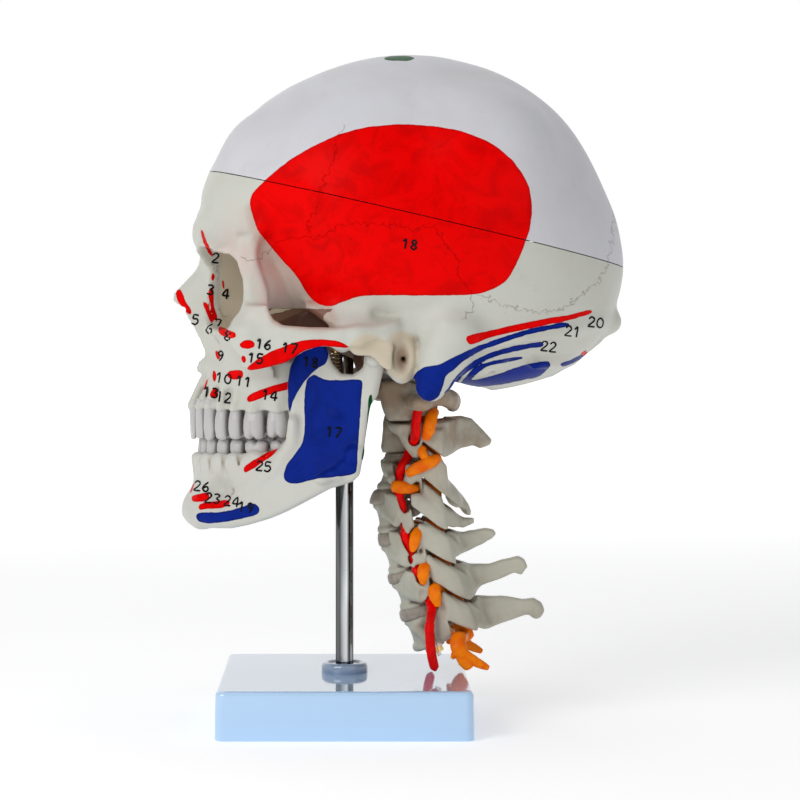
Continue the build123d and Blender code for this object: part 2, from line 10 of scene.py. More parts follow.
import bmesh
import bpy
import numpy as np
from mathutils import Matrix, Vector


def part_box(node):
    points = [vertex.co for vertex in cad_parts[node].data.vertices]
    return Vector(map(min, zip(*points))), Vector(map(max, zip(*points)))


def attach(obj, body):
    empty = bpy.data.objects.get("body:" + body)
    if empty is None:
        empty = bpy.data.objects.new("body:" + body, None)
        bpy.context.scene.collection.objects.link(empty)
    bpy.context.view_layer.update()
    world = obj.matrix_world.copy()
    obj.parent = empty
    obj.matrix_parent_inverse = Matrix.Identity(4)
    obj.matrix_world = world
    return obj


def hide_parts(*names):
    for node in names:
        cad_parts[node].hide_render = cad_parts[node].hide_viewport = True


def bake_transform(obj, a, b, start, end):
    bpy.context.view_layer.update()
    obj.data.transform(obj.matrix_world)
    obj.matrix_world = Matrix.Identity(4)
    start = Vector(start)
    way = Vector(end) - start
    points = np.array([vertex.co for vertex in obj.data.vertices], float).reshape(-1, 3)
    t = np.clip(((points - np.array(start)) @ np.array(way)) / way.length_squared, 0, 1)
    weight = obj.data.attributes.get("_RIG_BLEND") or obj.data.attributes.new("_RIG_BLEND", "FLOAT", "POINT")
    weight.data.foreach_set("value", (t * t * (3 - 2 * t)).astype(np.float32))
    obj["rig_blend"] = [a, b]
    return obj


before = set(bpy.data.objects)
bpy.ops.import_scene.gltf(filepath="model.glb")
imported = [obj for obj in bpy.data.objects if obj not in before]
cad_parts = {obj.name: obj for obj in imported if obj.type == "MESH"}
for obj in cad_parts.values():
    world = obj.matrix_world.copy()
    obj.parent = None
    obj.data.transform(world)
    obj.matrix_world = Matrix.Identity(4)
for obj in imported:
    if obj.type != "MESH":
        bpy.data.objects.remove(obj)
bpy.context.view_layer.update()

import openvdb as vdb
from mathutils import Vector
from mathutils.bvhtree import BVHTree


F32 = np.float32
MM = 0.001                             # metres in a millimetre
COARSENESS = 1.0

EYE_X, EYE_Z = 1178.5, 183.7           # the camera, straight out on the left side
BRAINCASE_WALL = 4.6
SPRING_X, SPRING_Y = 38, -4            # axis of the left jaw spring
FORAMEN_Y = 38                         # centre of the large hole in the skull's floor


# ------------------------------------------------------------------ fields of distances
Solid = namedtuple("Solid", "low high distance")     # corners of its box, distance(x, y, z)


def soft_min(a, b, blend):
    if blend <= 0:
        return np.minimum(a, b)
    near = np.maximum(blend - np.abs(a - b), 0) / blend
    return np.minimum(a, b) - near * near * (blend * 0.25)


def soft_max(a, b, blend):
    return -soft_min(-a, -b, blend)


def ease(start, end, value):
    """Smooth step from 0 at start to 1 at end; start may be the larger."""
    t = np.clip((value - start) / (end - start), 0, 1)
    return t * t * (3 - 2 * t)


class Field:
    """Distances on a grid over x >= 0; the other half is the mirror image."""

    def __init__(self, low, high, step):
        self.step = step * COARSENESS
        self.low = np.array(low, float)
        self.count = [int(math.ceil((high[i] - low[i]) / self.step)) + 1 for i in range(3)]
        self.axes = [(low[i] + self.step * np.arange(self.count[i])).astype(F32)
                     for i in range(3)]
        self.values = np.full(self.count, 9.0, F32)

    def grid(self):
        return np.ix_(*self.axes)

    def apply(self, solid, blend, combine):
        """Combines a solid with the part of the grid around its box."""
        margin = blend + 3 * self.step + 1.5
        window = []
        for i in range(3):
            first = math.floor((solid.low[i] - margin - self.low[i]) / self.step)
            last = math.ceil((solid.high[i] + margin - self.low[i]) / self.step) + 1
            first, last = max(0, int(first)), min(self.count[i], int(last))
            if first >= last:
                return
            window.append(slice(first, last))
        x, y, z = np.ix_(*(axis[part] for axis, part in zip(self.axes, window)))
        window = tuple(window)
        distances = solid.distance(x, y, z).astype(F32)
        self.values[window] = combine(self.values[window], distances, blend)

    def add(self, solid, blend=0.0):
        self.apply(solid, blend, soft_min)

    def cut(self, solid, blend=0.0):
        self.apply(solid, blend, lambda old, new, k: soft_max(old, -new, k))

    def merge(self, distances, blend):
        """Adds distances given over the whole grid."""
        self.values = soft_min(self.values, distances.astype(F32), blend)

    def carve(self, distances, blend=0.0):
        """Takes away distances given over the whole grid."""
        self.values = soft_max(self.values, -distances.astype(F32), blend)

    def bore(self, centre_x, centre_y, centre_z, radius, half_height, blend=0.0):
        """A flat-ended upright hole."""
        x, y, z = self.grid()
        across = np.sqrt((x - centre_x) ** 2 + (y - centre_y) ** 2) - radius
        self.carve(np.maximum(across, np.abs(z - centre_z) - half_height), blend)

    def ripple(self, amplitude, wave, seed):
        """The slight unevenness of cast bone."""
        x, y, z = (axis / wave for axis in self.grid())
        sin = np.sin
        a = (sin(x * 6.1 + 1.7 * sin(z * 2.9 + seed) + seed)
             * sin(y * 5.3 + 1.3 * sin(x * 3.3 + 2 * seed)))
        a = a + (sin(z * 6.7 + 1.5 * sin(y * 3.1 - seed))
                 * sin(x * 4.1 + 1.9 * sin(y * 2.2) + 3 * seed))
        a = a + (0.6 * sin(y * 11.3 + z * 7.7 + 2.1 * sin(x * 7.1))
                 * sin(z * 10.9 - x * 6.3 + seed))
        self.values = (self.values + amplitude * 0.42 * a).astype(F32)

    def sample(self, places):
        """Distance at places (n, 3), by straight interpolation."""
        mirrored = places.copy()
        mirrored[:, 0] = np.abs(mirrored[:, 0])
        spot = np.clip((mirrored - self.low) / self.step, 0, np.array(self.count) - 1.001)
        cell = spot.astype(int)
        part = spot - cell
        total = 0
        for corner in np.ndindex(2, 2, 2):
            weight = np.where(corner, part, 1 - part).prod(axis=1)
            total = total + weight * self.values[tuple((cell + corner).T)]
        return total

    def mesh(self):
        """Vertices and faces of the surface, both halves."""
        both = np.concatenate([self.values[:0:-1], self.values], axis=0)
        low = self.low - np.array([self.step * (self.count[0] - 1), 0, 0])
        grid = vdb.FloatGrid(background=9.0)
        grid.copyFromArray(np.ascontiguousarray(both, F32))
        verts, triangles, quads = grid.convertToPolygons(isovalue=0.0, adaptivity=0.0)
        verts = np.array(verts, float) * self.step + low
        triangles = np.array(triangles, int).reshape(-1, 3)
        quads = np.array(quads, int).reshape(-1, 4)
        # the sign of the volume decides the winding
        split = np.vstack([triangles, quads[:, [0, 1, 2]], quads[:, [0, 2, 3]]])
        a, b, c = (verts[split[:, i]] for i in range(3))
        faces = [tuple(f) for f in triangles.tolist() + quads.tolist()]
        if np.einsum("ij,ij->i", a, np.cross(b, c)).sum() < 0:
            faces = [f[::-1] for f in faces]
        return drop_crumbs(verts, faces)


def drop_crumbs(verts, faces, least_share=0.02):
    """Removes loose pieces that hold less than this share of the vertices."""
    parent = np.arange(len(verts))

    def find(i):
        while parent[i] != i:
            parent[i] = parent[parent[i]]
            i = parent[i]
        return i

    for face in faces:
        root = find(face[0])
        for vert in face[1:]:
            other = find(vert)
            if other != root:
                parent[other] = root
    roots = np.array([find(i) for i in range(len(verts))])
    ids, counts = np.unique(roots, return_counts=True)
    kept = np.isin(roots, ids[counts >= least_share * len(verts)])
    number = np.cumsum(kept) - 1
    return verts[kept], [tuple(int(number[v]) for v in f) for f in faces if kept[f[0]]]


# ------------------------------------------------------------------ lines and look-ups
def points(text):
    """Reads a table of "a,b" pairs."""
    return [tuple(float(c) for c in pair.split(",")) for pair in text.split()]


def spline(controls, steps):
    """Catmull-Rom points from the second control up to the last but one, left out."""
    out = []
    for i in range(1, len(controls) - 2):
        p0, p1, p2, p3 = controls[i - 1:i + 3]
        for j in range(steps):
            t = j / steps
            out.append(0.5 * (2 * p1 + (p2 - p0) * t + (2 * p0 - 5 * p1 + 4 * p2 - p3) * t * t
                              + (3 * p1 - p0 - 3 * p2 + p3) * t ** 3))
    return np.array(out)


def smooth_loop(corners, steps):
    corners = np.array(corners, float)
    return spline(np.vstack([corners[-1:], corners, corners[:2]]), steps)


def smooth_line(stations, steps):
    line = np.array(stations, float)
    controls = np.vstack([2 * line[0] - line[1], line, 2 * line[-1] - line[-2]])
    return np.vstack([spline(controls, steps), line[-1]])


def line_distance(line, u, v):
    """Distance to an open polyline, for arrays u, v."""
    line = np.array(line, float)
    best = np.full(np.broadcast(u, v).shape, 1e9)
    for start, end in zip(line, line[1:]):
        run_u, run_v = end - start
        off_u, off_v = u - start[0], v - start[1]
        t = np.clip((off_u * run_u + off_v * run_v)
                    / (run_u * run_u + run_v * run_v + 1e-12), 0, 1)
        best = np.minimum(best, (off_u - run_u * t) ** 2 + (off_v - run_v * t) ** 2)
    return np.sqrt(best)


def polygon_distance(outline, u, v):
    """Signed distance to a closed polygon, negative inside."""
    outline = np.array(outline, float)
    closed = np.vstack([outline, outline[:1]])
    distance = line_distance(closed, u, v)
    inside = np.zeros(distance.shape, bool)
    for (u0, v0), (u1, v1) in zip(closed, closed[1:]):
        crosses = (v0 > v) != (v1 > v)
        inside ^= crosses & (u < (u1 - u0) * (v - v0) / (v1 - v0 + 1e-12) + u0)
    return np.where(inside, -distance, distance)


def lookup(lattice, us, vs, edge=0.01):
    """Straight interpolation in lattice[u, v]; edge keeps the cells off the last line."""
    def find(u, v):
        u = (u - us[0]) / (us[-1] - us[0]) * (len(us) - 1)
        v = (v - vs[0]) / (vs[-1] - vs[0]) * (len(vs) - 1)
        u, v = np.clip(u, 0, len(us) - 1 - edge), np.clip(v, 0, len(vs) - 1 - edge)
        i, j = u.astype(int), v.astype(int)
        part_u, part_v = u - i, v - j
        return ((lattice[i, j] * (1 - part_u) + lattice[i + 1, j] * part_u) * (1 - part_v)
                + (lattice[i, j + 1] * (1 - part_u) + lattice[i + 1, j + 1] * part_u) * part_v)

    return find


def plan_lookup(line, xs, ys):
    """Distance to a line in the x-y plane, tabled once on a fine lattice."""
    return lookup(line_distance(line, xs[:, None], ys[None]), xs, ys)


def smooth_table(rows, columns, values, size=160):
    """Softened look-up of a table whose rows go down in z and columns go up in x."""
    rows, values = np.array(rows[::-1], float), np.array(values[::-1], float)
    zs, xs = np.linspace(rows[0], rows[-1], size), np.linspace(columns[0], columns[-1], size)
    fine = np.array([np.interp(xs, columns, row) for row in values])
    fine = np.array([np.interp(zs, rows, fine[:, j]) for j in range(size)]).T
    # ten turns of a five-point mean, along z and x by turns
    for _ in range(10):
        padded = np.pad(fine, ((2, 2), (0, 0)), mode="reflect", reflect_type="odd")
        fine = (sum(padded[s:s + size] for s in range(5)) / 5).T
    return lookup(fine.T, xs, zs, edge=0.001)


# ------------------------------------------------------------------ solids
def ball(centre, radii):
    """An ellipsoid."""
    centre, radii = np.array(centre, float), np.array(radii, float)

    def distance(x, y, z):
        a, b, c = (x - centre[0]) / radii[0], (y - centre[1]) / radii[1], (z - centre[2]) / radii[2]
        reach = np.sqrt(a * a + b * b + c * c) + 1e-6
        slope = np.sqrt((a / radii[0]) ** 2 + (b / radii[1]) ** 2 + (c / radii[2]) ** 2) + 1e-6
        return reach * (reach - 1) / slope

    return Solid(centre - radii, centre + radii, distance)


def rod(start, end, radius, end_radius=None, scale=(1, 1, 1)):
    """A round-ended cone; scale stretches its section along each axis."""
    end_radius = radius if end_radius is None else end_radius
    start, end, scale = np.array(start, float), np.array(end, float), np.array(scale, float)
    reach = max(radius, end_radius) * scale
    origin = start / scale
    run = end / scale - origin
    length_sq = float(run @ run) + 1e-9

    def distance(x, y, z):
        x, y, z = x / scale[0] - origin[0], y / scale[1] - origin[1], z / scale[2] - origin[2]
        t = np.clip((x * run[0] + y * run[1] + z * run[2]) / length_sq, 0, 1)
        off = np.sqrt((x - t * run[0]) ** 2 + (y - t * run[1]) ** 2 + (z - t * run[2]) ** 2)
        return (off - (radius + (end_radius - radius) * t)) * float(min(scale))

    return Solid(np.minimum(start, end) - reach, np.maximum(start, end) + reach, distance)


def tube(stations, radii, scale=(1, 1, 1)):
    """Rods end to end."""
    if not hasattr(radii, "__len__"):
        radii = [radii] * len(stations)
    rods = [rod(stations[i], stations[i + 1], radii[i], radii[i + 1], scale)
            for i in range(len(stations) - 1)]

    def distance(x, y, z):
        nearest = rods[0].distance(x, y, z)
        for piece in rods[1:]:
            nearest = np.minimum(nearest, piece.distance(x, y, z))
        return nearest

    return Solid(np.min([r.low for r in rods], axis=0), np.max([r.high for r in rods], axis=0),
                 distance)


def plate(outline, middle, half_thickness, rounding=1.5):
    """A side outline (y, z) made thick across x, for x >= 0.

    The middle and half thickness are numbers or functions of y and z.
    """
    outline = np.array(outline, float)

    def value(given, y, z):
        return given(y[0], z[0])[None] if callable(given) else given

    def distance(x, y, z):
        side = polygon_distance(outline, y[0], z[0])[None]
        across = np.abs(x - value(middle, y, z)) - value(half_thickness, y, z)
        return soft_max(side, across, rounding)

    return Solid((0, *outline.min(axis=0)), (80.0, *outline.max(axis=0)), distance)


# ------------------------------------------------------------------ meshes
def make_object(name, verts, faces, material):
    mesh = bpy.data.meshes.new(name)
    mesh.from_pydata([tuple(p) for p in (np.asarray(verts) * MM)], [], faces)
    mesh.validate()
    mesh.update()
    mesh.polygons.foreach_set("use_smooth", np.ones(len(mesh.polygons), bool))
    obj = bpy.data.objects.new(name, mesh)
    bpy.context.scene.collection.objects.link(obj)
    mesh.materials.append(material)
    return obj


def register(obj, body=None, replaced=()):
    if body:
        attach(obj, body)
    if replaced:
        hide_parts(*replaced)


def weld_and_crease(obj, degrees):
    """Joins doubled vertices, turns the faces outward and creases the steep edges."""
    mesh = bmesh.new()
    mesh.from_mesh(obj.data)
    bmesh.ops.remove_doubles(mesh, verts=mesh.verts, dist=1e-6)
    bmesh.ops.recalc_face_normals(mesh, faces=mesh.faces)
    for edge in mesh.edges:
        if len(edge.link_faces) == 2 and edge.calc_face_angle(0) > math.radians(degrees):
            edge.smooth = False
    mesh.to_mesh(obj.data)
    mesh.free()


def set_attribute(obj, name, values):
    attributes = obj.data.attributes
    attribute = attributes.get(name) or attributes.new(name, "FLOAT", "POINT")
    attribute.data.foreach_set("value", np.asarray(values, F32))


def read_vectors(collection, name):
    values = np.zeros(len(collection) * 3, F32)
    collection.foreach_get(name, values)
    return values.reshape(-1, 3).astype(float)


def verts_mm(obj):
    return read_vectors(obj.data.vertices, "co") * 1000


def vert_normals(obj):
    return read_vectors(obj.data.vertex_normals, "vector")


def lathe(profile, segments):
    """Turns a closed run of (radius, height) pairs about Z."""
    verts, faces = [], []
    count = len(profile)
    for i in range(segments):
        angle = 2 * math.pi * i / segments
        for radius, height in profile:
            verts.append((radius * math.cos(angle), radius * math.sin(angle), height))
    for i in range(segments):
        j = (i + 1) % segments
        for k in range(count):
            up = (k + 1) % count
            faces.append((i * count + k, j * count + k, j * count + up, i * count + up))
    return np.array(verts), faces


def ring_faces(rings, n):
    """Quads between rings of n vertices numbered one after another."""
    return [(k * n + i, k * n + (i + 1) % n, (k + 1) * n + (i + 1) % n, (k + 1) * n + i)
            for k in range(rings - 1) for i in range(n)]


def sweep(path, radii, segments, wobble=0.0, seed=1):
    """A tube with rounded ends; radii is one number, one pair or a pair per station."""
    path = np.array(path, float)
    count = len(path)
    radii = np.broadcast_to(np.array(radii, float), (count, 2))
    along = np.gradient(path, axis=0)
    along /= np.linalg.norm(along, axis=1)[:, None] + 1e-12
    helper = np.array([1.0, 0, 0]) if abs(along[0][0]) < 0.8 else np.array([0, 0, 1.0])
    side = np.cross(along[0], helper)
    side /= np.linalg.norm(side)
    rng = np.random.default_rng(seed)
    verts = []
    for i in range(count):
        side = side - along[i] * (side @ along[i])
        side /= np.linalg.norm(side) + 1e-12
        other = np.cross(along[i], side)
        for j in range(segments):
            angle = 2 * math.pi * j / segments
            swell = 1 + wobble * rng.standard_normal()
            verts.append(path[i] + (side * math.cos(angle) * radii[i, 0]
                                    + other * math.sin(angle) * radii[i, 1]) * swell)
    faces = ring_faces(count, segments)
    for end, sign in ((0, -1), (count - 1, 1)):
        base, ring = end * segments, len(verts)
        outward = sign * along[end] * radii[end].mean()
        for j in range(segments):
            verts.append(path[end] + (verts[base + j] - path[end]) * 0.62 + outward * 0.33)
        tip = len(verts)
        verts.append(path[end] + outward * 0.45)
        for j in range(segments):
            k = (j + 1) % segments
            a, b = (j, k) if sign > 0 else (k, j)
            faces.append((base + a, base + b, ring + b, ring + a))
            faces.append((ring + a, ring + b, tip))
    return np.array(verts), faces


def join_meshes(parts):
    verts, faces, offset = [], [], 0
    for part_verts, part_faces in parts:
        verts.append(np.asarray(part_verts))
        faces += [tuple(v + offset for v in face) for face in part_faces]
        offset += len(part_verts)
    return np.vstack(verts), faces


# ------------------------------------------------------------------ braincase
# middle-plane outline (y, z) of the braincase
SAGITTAL = points("""
    -63.5,232 -59.5,244 -53.7,253 -47,262 -41,268.6 -35,273.8 -28.7,278 -22.5,281.6
    -10,287.2 2.4,291.4 15,294 27,294.9 40,294.3 52,291.9 65,288 77,282.2 88,274.6
    96,267.2 102.5,259 108.5,249 114.5,236.5 120.2,222.5 122.8,210.5 123.6,203
    123.2,195.5 121.2,186.5 118.2,178 113.6,170 108,164 102,159.2 95.5,155.4
    88.5,152.4 80,149.6 70.8,147.8 62,147.4 54,148.6 38,150.5 22,153.5 10,160 -5,168
    -18,175 -30,186 -40,198 -49,206.5 -58,215 -62.5,222""")
BRAIN_Y, BRAIN_Z = 30.0, 220.0         # centre the outline is measured from
BRAIN_HALF_WIDTH = 71.3


def outline_radii():
    """Radius of the outline against its angle, softened by a seven-point mean."""
    curve = smooth_loop(SAGITTAL, 6) - (BRAIN_Y, BRAIN_Z)
    angles = np.linspace(-math.pi, math.pi, 721)
    radii = np.interp(angles, np.arctan2(curve[:, 1], curve[:, 0]),
                      np.hypot(curve[:, 0], curve[:, 1]), period=2 * math.pi)
    ring = np.concatenate([radii[-4:-1], radii, radii[1:4]])
    return angles, np.convolve(ring, np.ones(7) / 7, mode="valid")


OUTLINE_ANGLES, OUTLINE_RADII = outline_radii()


def braincase(field):
    """Distance to the outside of the braincase, over the whole grid."""
    x, y, z = field.grid()
    reach = np.sqrt((y - BRAIN_Y) * (y - BRAIN_Y) + (z - BRAIN_Z) * (z - BRAIN_Z)) + 1e-3
    angle = np.arctan2(z - BRAIN_Z, y - BRAIN_Y)
    edge = np.interp(angle, OUTLINE_ANGLES, OUTLINE_RADII)
    # squarer at the front, rounder underneath
    front = np.clip(-np.cos(angle), 0, 1)
    under = np.clip(-np.sin(angle), 0, 1)
    top = np.clip(np.sin(angle), 0, 1)
    power = 2.12 + 0.30 * front + 0.05 * top - 0.04 * under
    # narrower towards the forehead
    half_width = BRAIN_HALF_WIDTH - 6.0 * ease(-5, -70, y) * (0.6 + 0.4 * front)
    level = ((reach / edge) ** power + (np.abs(x) / half_width) ** power) ** (1 / power)
    level = level.astype(np.float64)
    slope_x, slope_y, slope_z = np.gradient(level, field.step)
    slope = np.sqrt(slope_x * slope_x + slope_y * slope_y + slope_z * slope_z)
    distance = np.clip((level - 1) / np.clip(slope, 1 / 110.0, 1 / 45.0), -30, 30)
    # hollow behind the cheek, then the parietal and the low frontal bosses
    hollow = ball((70, -33, 198), (20, 24, 34)).distance(x, y, z)
    distance = soft_max(distance, -hollow, 16)
    for boss in (ball((40, 58, 246), (30, 34, 30)), ball((24, -37, 246), (17, 15, 18))):
        distance = soft_min(distance, boss.distance(x, y, z), 10)
    return distance.astype(F32)


def seen_from_left(places):
    """Where places fall on the middle plane when looked at from the camera."""
    grow = EYE_X / (EYE_X - places[:, 0])
    return places[:, 1] * grow, EYE_Z + (places[:, 2] - EYE_Z) * grow


# ------------------------------------------------------------------ tooth rows
Tooth = namedtuple("Tooth", "centre along outward width depth")
# widths and depths of the seven teeth from the middle back
UPPER_SIZES = [(8.4, 7.0), (6.8, 6.6), (7.6, 8.0), (6.8, 9.0), (6.8, 9.2), (10.0, 11.0),
               (9.6, 11.0)]
LOWER_SIZES = [(5.3, 6.0), (5.8, 6.2), (6.8, 7.6), (7.0, 8.0), (7.1, 8.2), (11.0, 10.4),
               (10.6, 10.2)]


def arch(half_width, front, depth):
    """Half of a tooth row in plan (x, y), from the middle back."""
    angles = [u * math.pi / 2 for u in np.linspace(0, 1, 30)]
    return [(half_width * math.sin(a), front + depth * (1 - math.cos(a)) ** 0.92)
            for a in angles]


def set_teeth(curve, sizes, gap=0.1):
    """Places each tooth along the arch, going back from the middle."""
    curve = np.array(curve)
    length = np.concatenate([[0], np.cumsum(np.hypot(*np.diff(curve, axis=0).T))])

    def at(distance):
        return np.array([np.interp(distance, length, curve[:, i]) for i in (0, 1)])

    teeth, start = [], gap / 2
    for width, depth in sizes:
        middle = start + width / 2
        centre = at(middle)
        along = at(middle + 0.5) - at(middle - 0.5)
        along /= np.linalg.norm(along)
        outward = np.array([along[1], -along[0]])
        if outward @ (centre + (0, 30)) < 0:
            outward = -outward
        teeth.append(Tooth(centre, along, outward, width, depth))
        start += width + gap
    return teeth


UPPER_ARCH = arch(31.0, -66.0, 43.0) + [(31.0, -17.0)]
LOWER_ARCH = arch(28.4, -62.7, 40.5)
UPPER_TEETH = set_teeth(UPPER_ARCH, UPPER_SIZES)
LOWER_TEETH = set_teeth(LOWER_ARCH, LOWER_SIZES)

KINDS = "iicppmm"                      # incisors, canine, premolars, molars
# by kind: height from gum (0) to biting edge (1), then width and depth as shares
TOOTH_PROFILES = {
    "i": ([-0.5, 0, 0.25, 0.7, 1.0], [0.50, 0.74, 0.88, 0.99, 0.97], [0.55, 0.92, 0.86, 0.50, 0.22]),
    "c": ([-0.5, 0, 0.3, 0.6, 1.0], [0.48, 0.74, 0.92, 1.0, 0.62], [0.6, 0.94, 1.0, 0.66, 0.24]),
    "p": ([-0.5, 0, 0.3, 0.62, 1.0], [0.50, 0.76, 0.95, 1.0, 0.80], [0.5, 0.84, 1.0, 0.98, 0.72]),
    "m": ([-0.5, 0, 0.3, 0.62, 1.0], [0.60, 0.84, 0.98, 1.0, 0.88], [0.55, 0.84, 1.0, 0.98, 0.78]),
}
# heights of the gum line and of the biting edge, tooth by tooth
UPPER_NECKS = (139.2, 139.6, 139.8, 138.8, 138.4, 138.0, 137.6)
UPPER_TIPS = (124.6, 125.2, 124.3, 125.0, 125.4, 125.5, 126.2)
LOWER_NECKS = (117.4, 117.6, 117.6, 118.2, 118.8, 119.6, 120.4)
LOWER_TIPS = (126.7, 126.6, 127.2, 126.4, 126.2, 126.0, 126.0)


def tooth_solid(tooth, kind, neck, tip, upper):
    sign = 1.0 if upper else -1.0
    root = neck + 3.5 * sign
    width, depth = tooth.width - 0.14, tooth.depth
    heights, widths, depths = TOOTH_PROFILES[kind]
    is_front = kind in "ic"

    def distance(x, y, z):
        off_x, off_y = x - tooth.centre[0], y - tooth.centre[1]
        u = off_x * tooth.along[0] + off_y * tooth.along[1]
        v = off_x * tooth.outward[0] + off_y * tooth.outward[1]
        q = np.clip((neck - z) * sign / abs(neck - tip), -0.6, 1.1)
        half_width = np.interp(q, heights, widths) * width / 2
        half_depth = np.interp(q, heights, depths) * depth / 2
        if is_front:
            shift = ((depth / 2 * 0.96 - half_depth) * (0.86 if upper else 0.72)
                     - 0.5 * np.clip(q, 0, 1) ** 2)
        else:
            shift = (0.5 if upper else -0.6) * np.clip(q, 0, 1)
        power = 2.5 if is_front else 2.9
        level = ((np.abs(u) / half_width) ** power
                 + (np.abs(v - shift) / half_depth) ** power) ** (1 / power)
        body = (level - 1) * np.minimum(half_width, half_depth) * 0.95
        # how far the biting face falls short of the tip
        if kind == "i":
            short = 0.022 * u * u
        elif kind == "c":
            short = 0.62 * np.abs(u) + 0.04 * u * u
        elif kind == "p":
            short = (1.7 * np.exp(-(v / 1.15) ** 2) + 0.05 * u * u + 0.05 * v * v
                     + (0.5 if upper else 0.6) * (v < 0))
        else:
            short = (1.35 * np.exp(-(u / 0.95) ** 2) + 1.6 * np.exp(-(v / 1.1) ** 2)
                     + 0.035 * (u * u + v * v) + 0.3 * (v < 0))
            # groove down the cheek side
            groove = (np.sqrt(u * u + (v - half_depth - 0.25 - shift) ** 2)
                      - np.interp(q, [0.3, 0.6, 1.0], [0.0, 0.5, 1.1]))
            body = soft_max(body, -groove, 0.8)
        body = soft_max(body, short - (z - tip) * sign, 0.9 if is_front else 1.3)
        return soft_max(body, (z - root) * sign, 1.0)

    return Solid((*(tooth.centre - 8), min(tip, root) - 1),
                 (*(tooth.centre + 8), max(tip, root) + 1), distance)


def build_teeth(upper):
    if upper:
        row = Field((0, -74, 112.5), (40, -14, 145), 0.42)
        stations = zip(UPPER_TEETH, KINDS, UPPER_NECKS, UPPER_TIPS)
    else:
        row = Field((0, -70, 110), (38, -14, 131), 0.42)
        stations = zip(LOWER_TEETH, KINDS, LOWER_NECKS, LOWER_TIPS)
    for tooth, kind, neck, tip in stations:
        row.add(tooth_solid(tooth, kind, neck, tip, upper), 0.12)
    return row


# ------------------------------------------------------------------ cranium
# front relief of the face: y of the surface, rows at FACE_Z, columns at FACE_X
FACE_X = [0, 4, 8, 12, 17, 22, 28, 34, 40, 46, 52, 58, 64]
FACE_Z = [236, 226, 218, 212, 207, 200, 194, 188, 183, 177, 170, 163, 156, 150, 143, 137]
FACE_Y = [
    [-56, -56, -55.5, -55, -54, -52, -47, -40, -32, -22, -10, 5, 20],
    [-63, -63, -62.6, -62, -60.8, -58.6, -54, -48.5, -42, -35, -25, -14, -4],
    [-65.6, -65.6, -65.4, -65, -64, -62.4, -59.4, -55.6, -50.8, -44.5, -36, -25, -15],
    [-64.4, -64.4, -64.6, -64.8, -64.4, -63.4, -61.2, -57.8, -53.6, -48, -40, -28, -18],
    [-63.8, -63.5, -63, -63.5, -64.5, -64.5, -63, -60, -56, -50.5, -43, -28, -18],
    [-65.5, -64.5, -60, -55, -54, -54, -54, -54, -51.6, -47, -42, -30, -20],
    [-71.8, -69, -61.5, -56, -54, -54, -54, -53, -48.8, -43.4, -41, -30, -20],
    [-77.4, -73.5, -64.5, -57.5, -55, -54, -54, -53, -48.4, -42.8, -40.5, -31, -20],
    [-76, -73.6, -67, -60, -57, -56, -55, -54, -49.6, -44.2, -40, -32, -21],
    [-69, -68.5, -66.5, -63, -60.5, -59.5, -58, -56, -52.5, -48, -42, -34, -22],
    [-64.4, -64.4, -64.4, -63.2, -60.2, -58, -55.5, -53.5, -51.5, -48.5, -43, -34, -22],
    [-60.6, -60.6, -61, -60.9, -58.8, -56.2, -52.5, -49, -46.5, -44, -39, -31, -22],
    [-60, -59.4, -58.8, -58.8, -58.4, -56, -51, -45.5, -41.5, -38, -32, -25, -20],
    [-62.2, -61.8, -61.5, -61, -59.8, -56.5, -50, -42, -34, -28, -22, -20, -20],
    [-65, -64.8, -64.3, -63.3, -61, -56.5, -49, -38, -28, -22, -20, -20, -20],
    [-66.5, -66.2, -65.5, -64, -61, -56, -47, -34, -26, -20, -20, -20, -20],
]
face_y = smooth_table(FACE_Z, FACE_X, FACE_Y)
# heights, and the half width of the face at each
FACE_HALF_WIDTH = (
    [136, 142, 148, 152, 156, 160, 165, 170, 176, 182, 188, 195, 205, 215, 226],
    [30.5, 31, 32.5, 36, 42.5, 48, 54.5, 57.5, 57, 52.5, 50, 49.5, 50.5, 50, 48])
SOCKET_FRONT = np.array([31.5, -56.0, 191.6])
SOCKET_BACK = np.array([12.5, -13.0, 193.5])
SOCKET_LINING = 2.4
ROOT_TOPS = (151, 149, 155, 150, 149, 148, 147)      # of the upper teeth


def eye_socket(grow=0.0):
    """A rounded four-sided cone that narrows towards the middle and back."""
    along = SOCKET_BACK - SOCKET_FRONT
    length = float(np.linalg.norm(along))
    along = along / length
    level = np.cross(along, np.array([0, 0, 1.0]))
    level /= np.linalg.norm(level)
    upright = np.cross(level, along)
    roll = math.radians(-10)
    across = level * math.cos(roll) + upright * math.sin(roll)
    up = -level * math.sin(roll) + upright * math.cos(roll)

    def distance(x, y, z):
        off = (x - SOCKET_FRONT[0], y - SOCKET_FRONT[1], z - SOCKET_FRONT[2])

        def measure(axis):
            return off[0] * axis[0] + off[1] * axis[1] + off[2] * axis[2]

        depth = measure(along)
        q = np.clip(depth / length, -0.5, 1)
        taper = np.where(q < 0.2, 1.0 - 0.18 * (q - 0.2) ** 2,
                         np.sqrt(np.clip(1.03 - ((q - 0.2) / 0.83) ** 1.75, 1e-4, 2)))
        half_width, half_height = 20.6 * taper + grow, 17.6 * taper + grow
        shape = ((np.abs(measure(across)) / half_width) ** 2.7
                 + (np.abs(measure(up)) / half_height) ** 2.7) ** (1 / 2.7)
        wall = (shape - 1) * np.minimum(half_width, half_height) * 0.92
        return soft_max(wall, depth - length - grow, 1.0)

    return Solid((0, -86, 170), (58, -8, 214), distance)


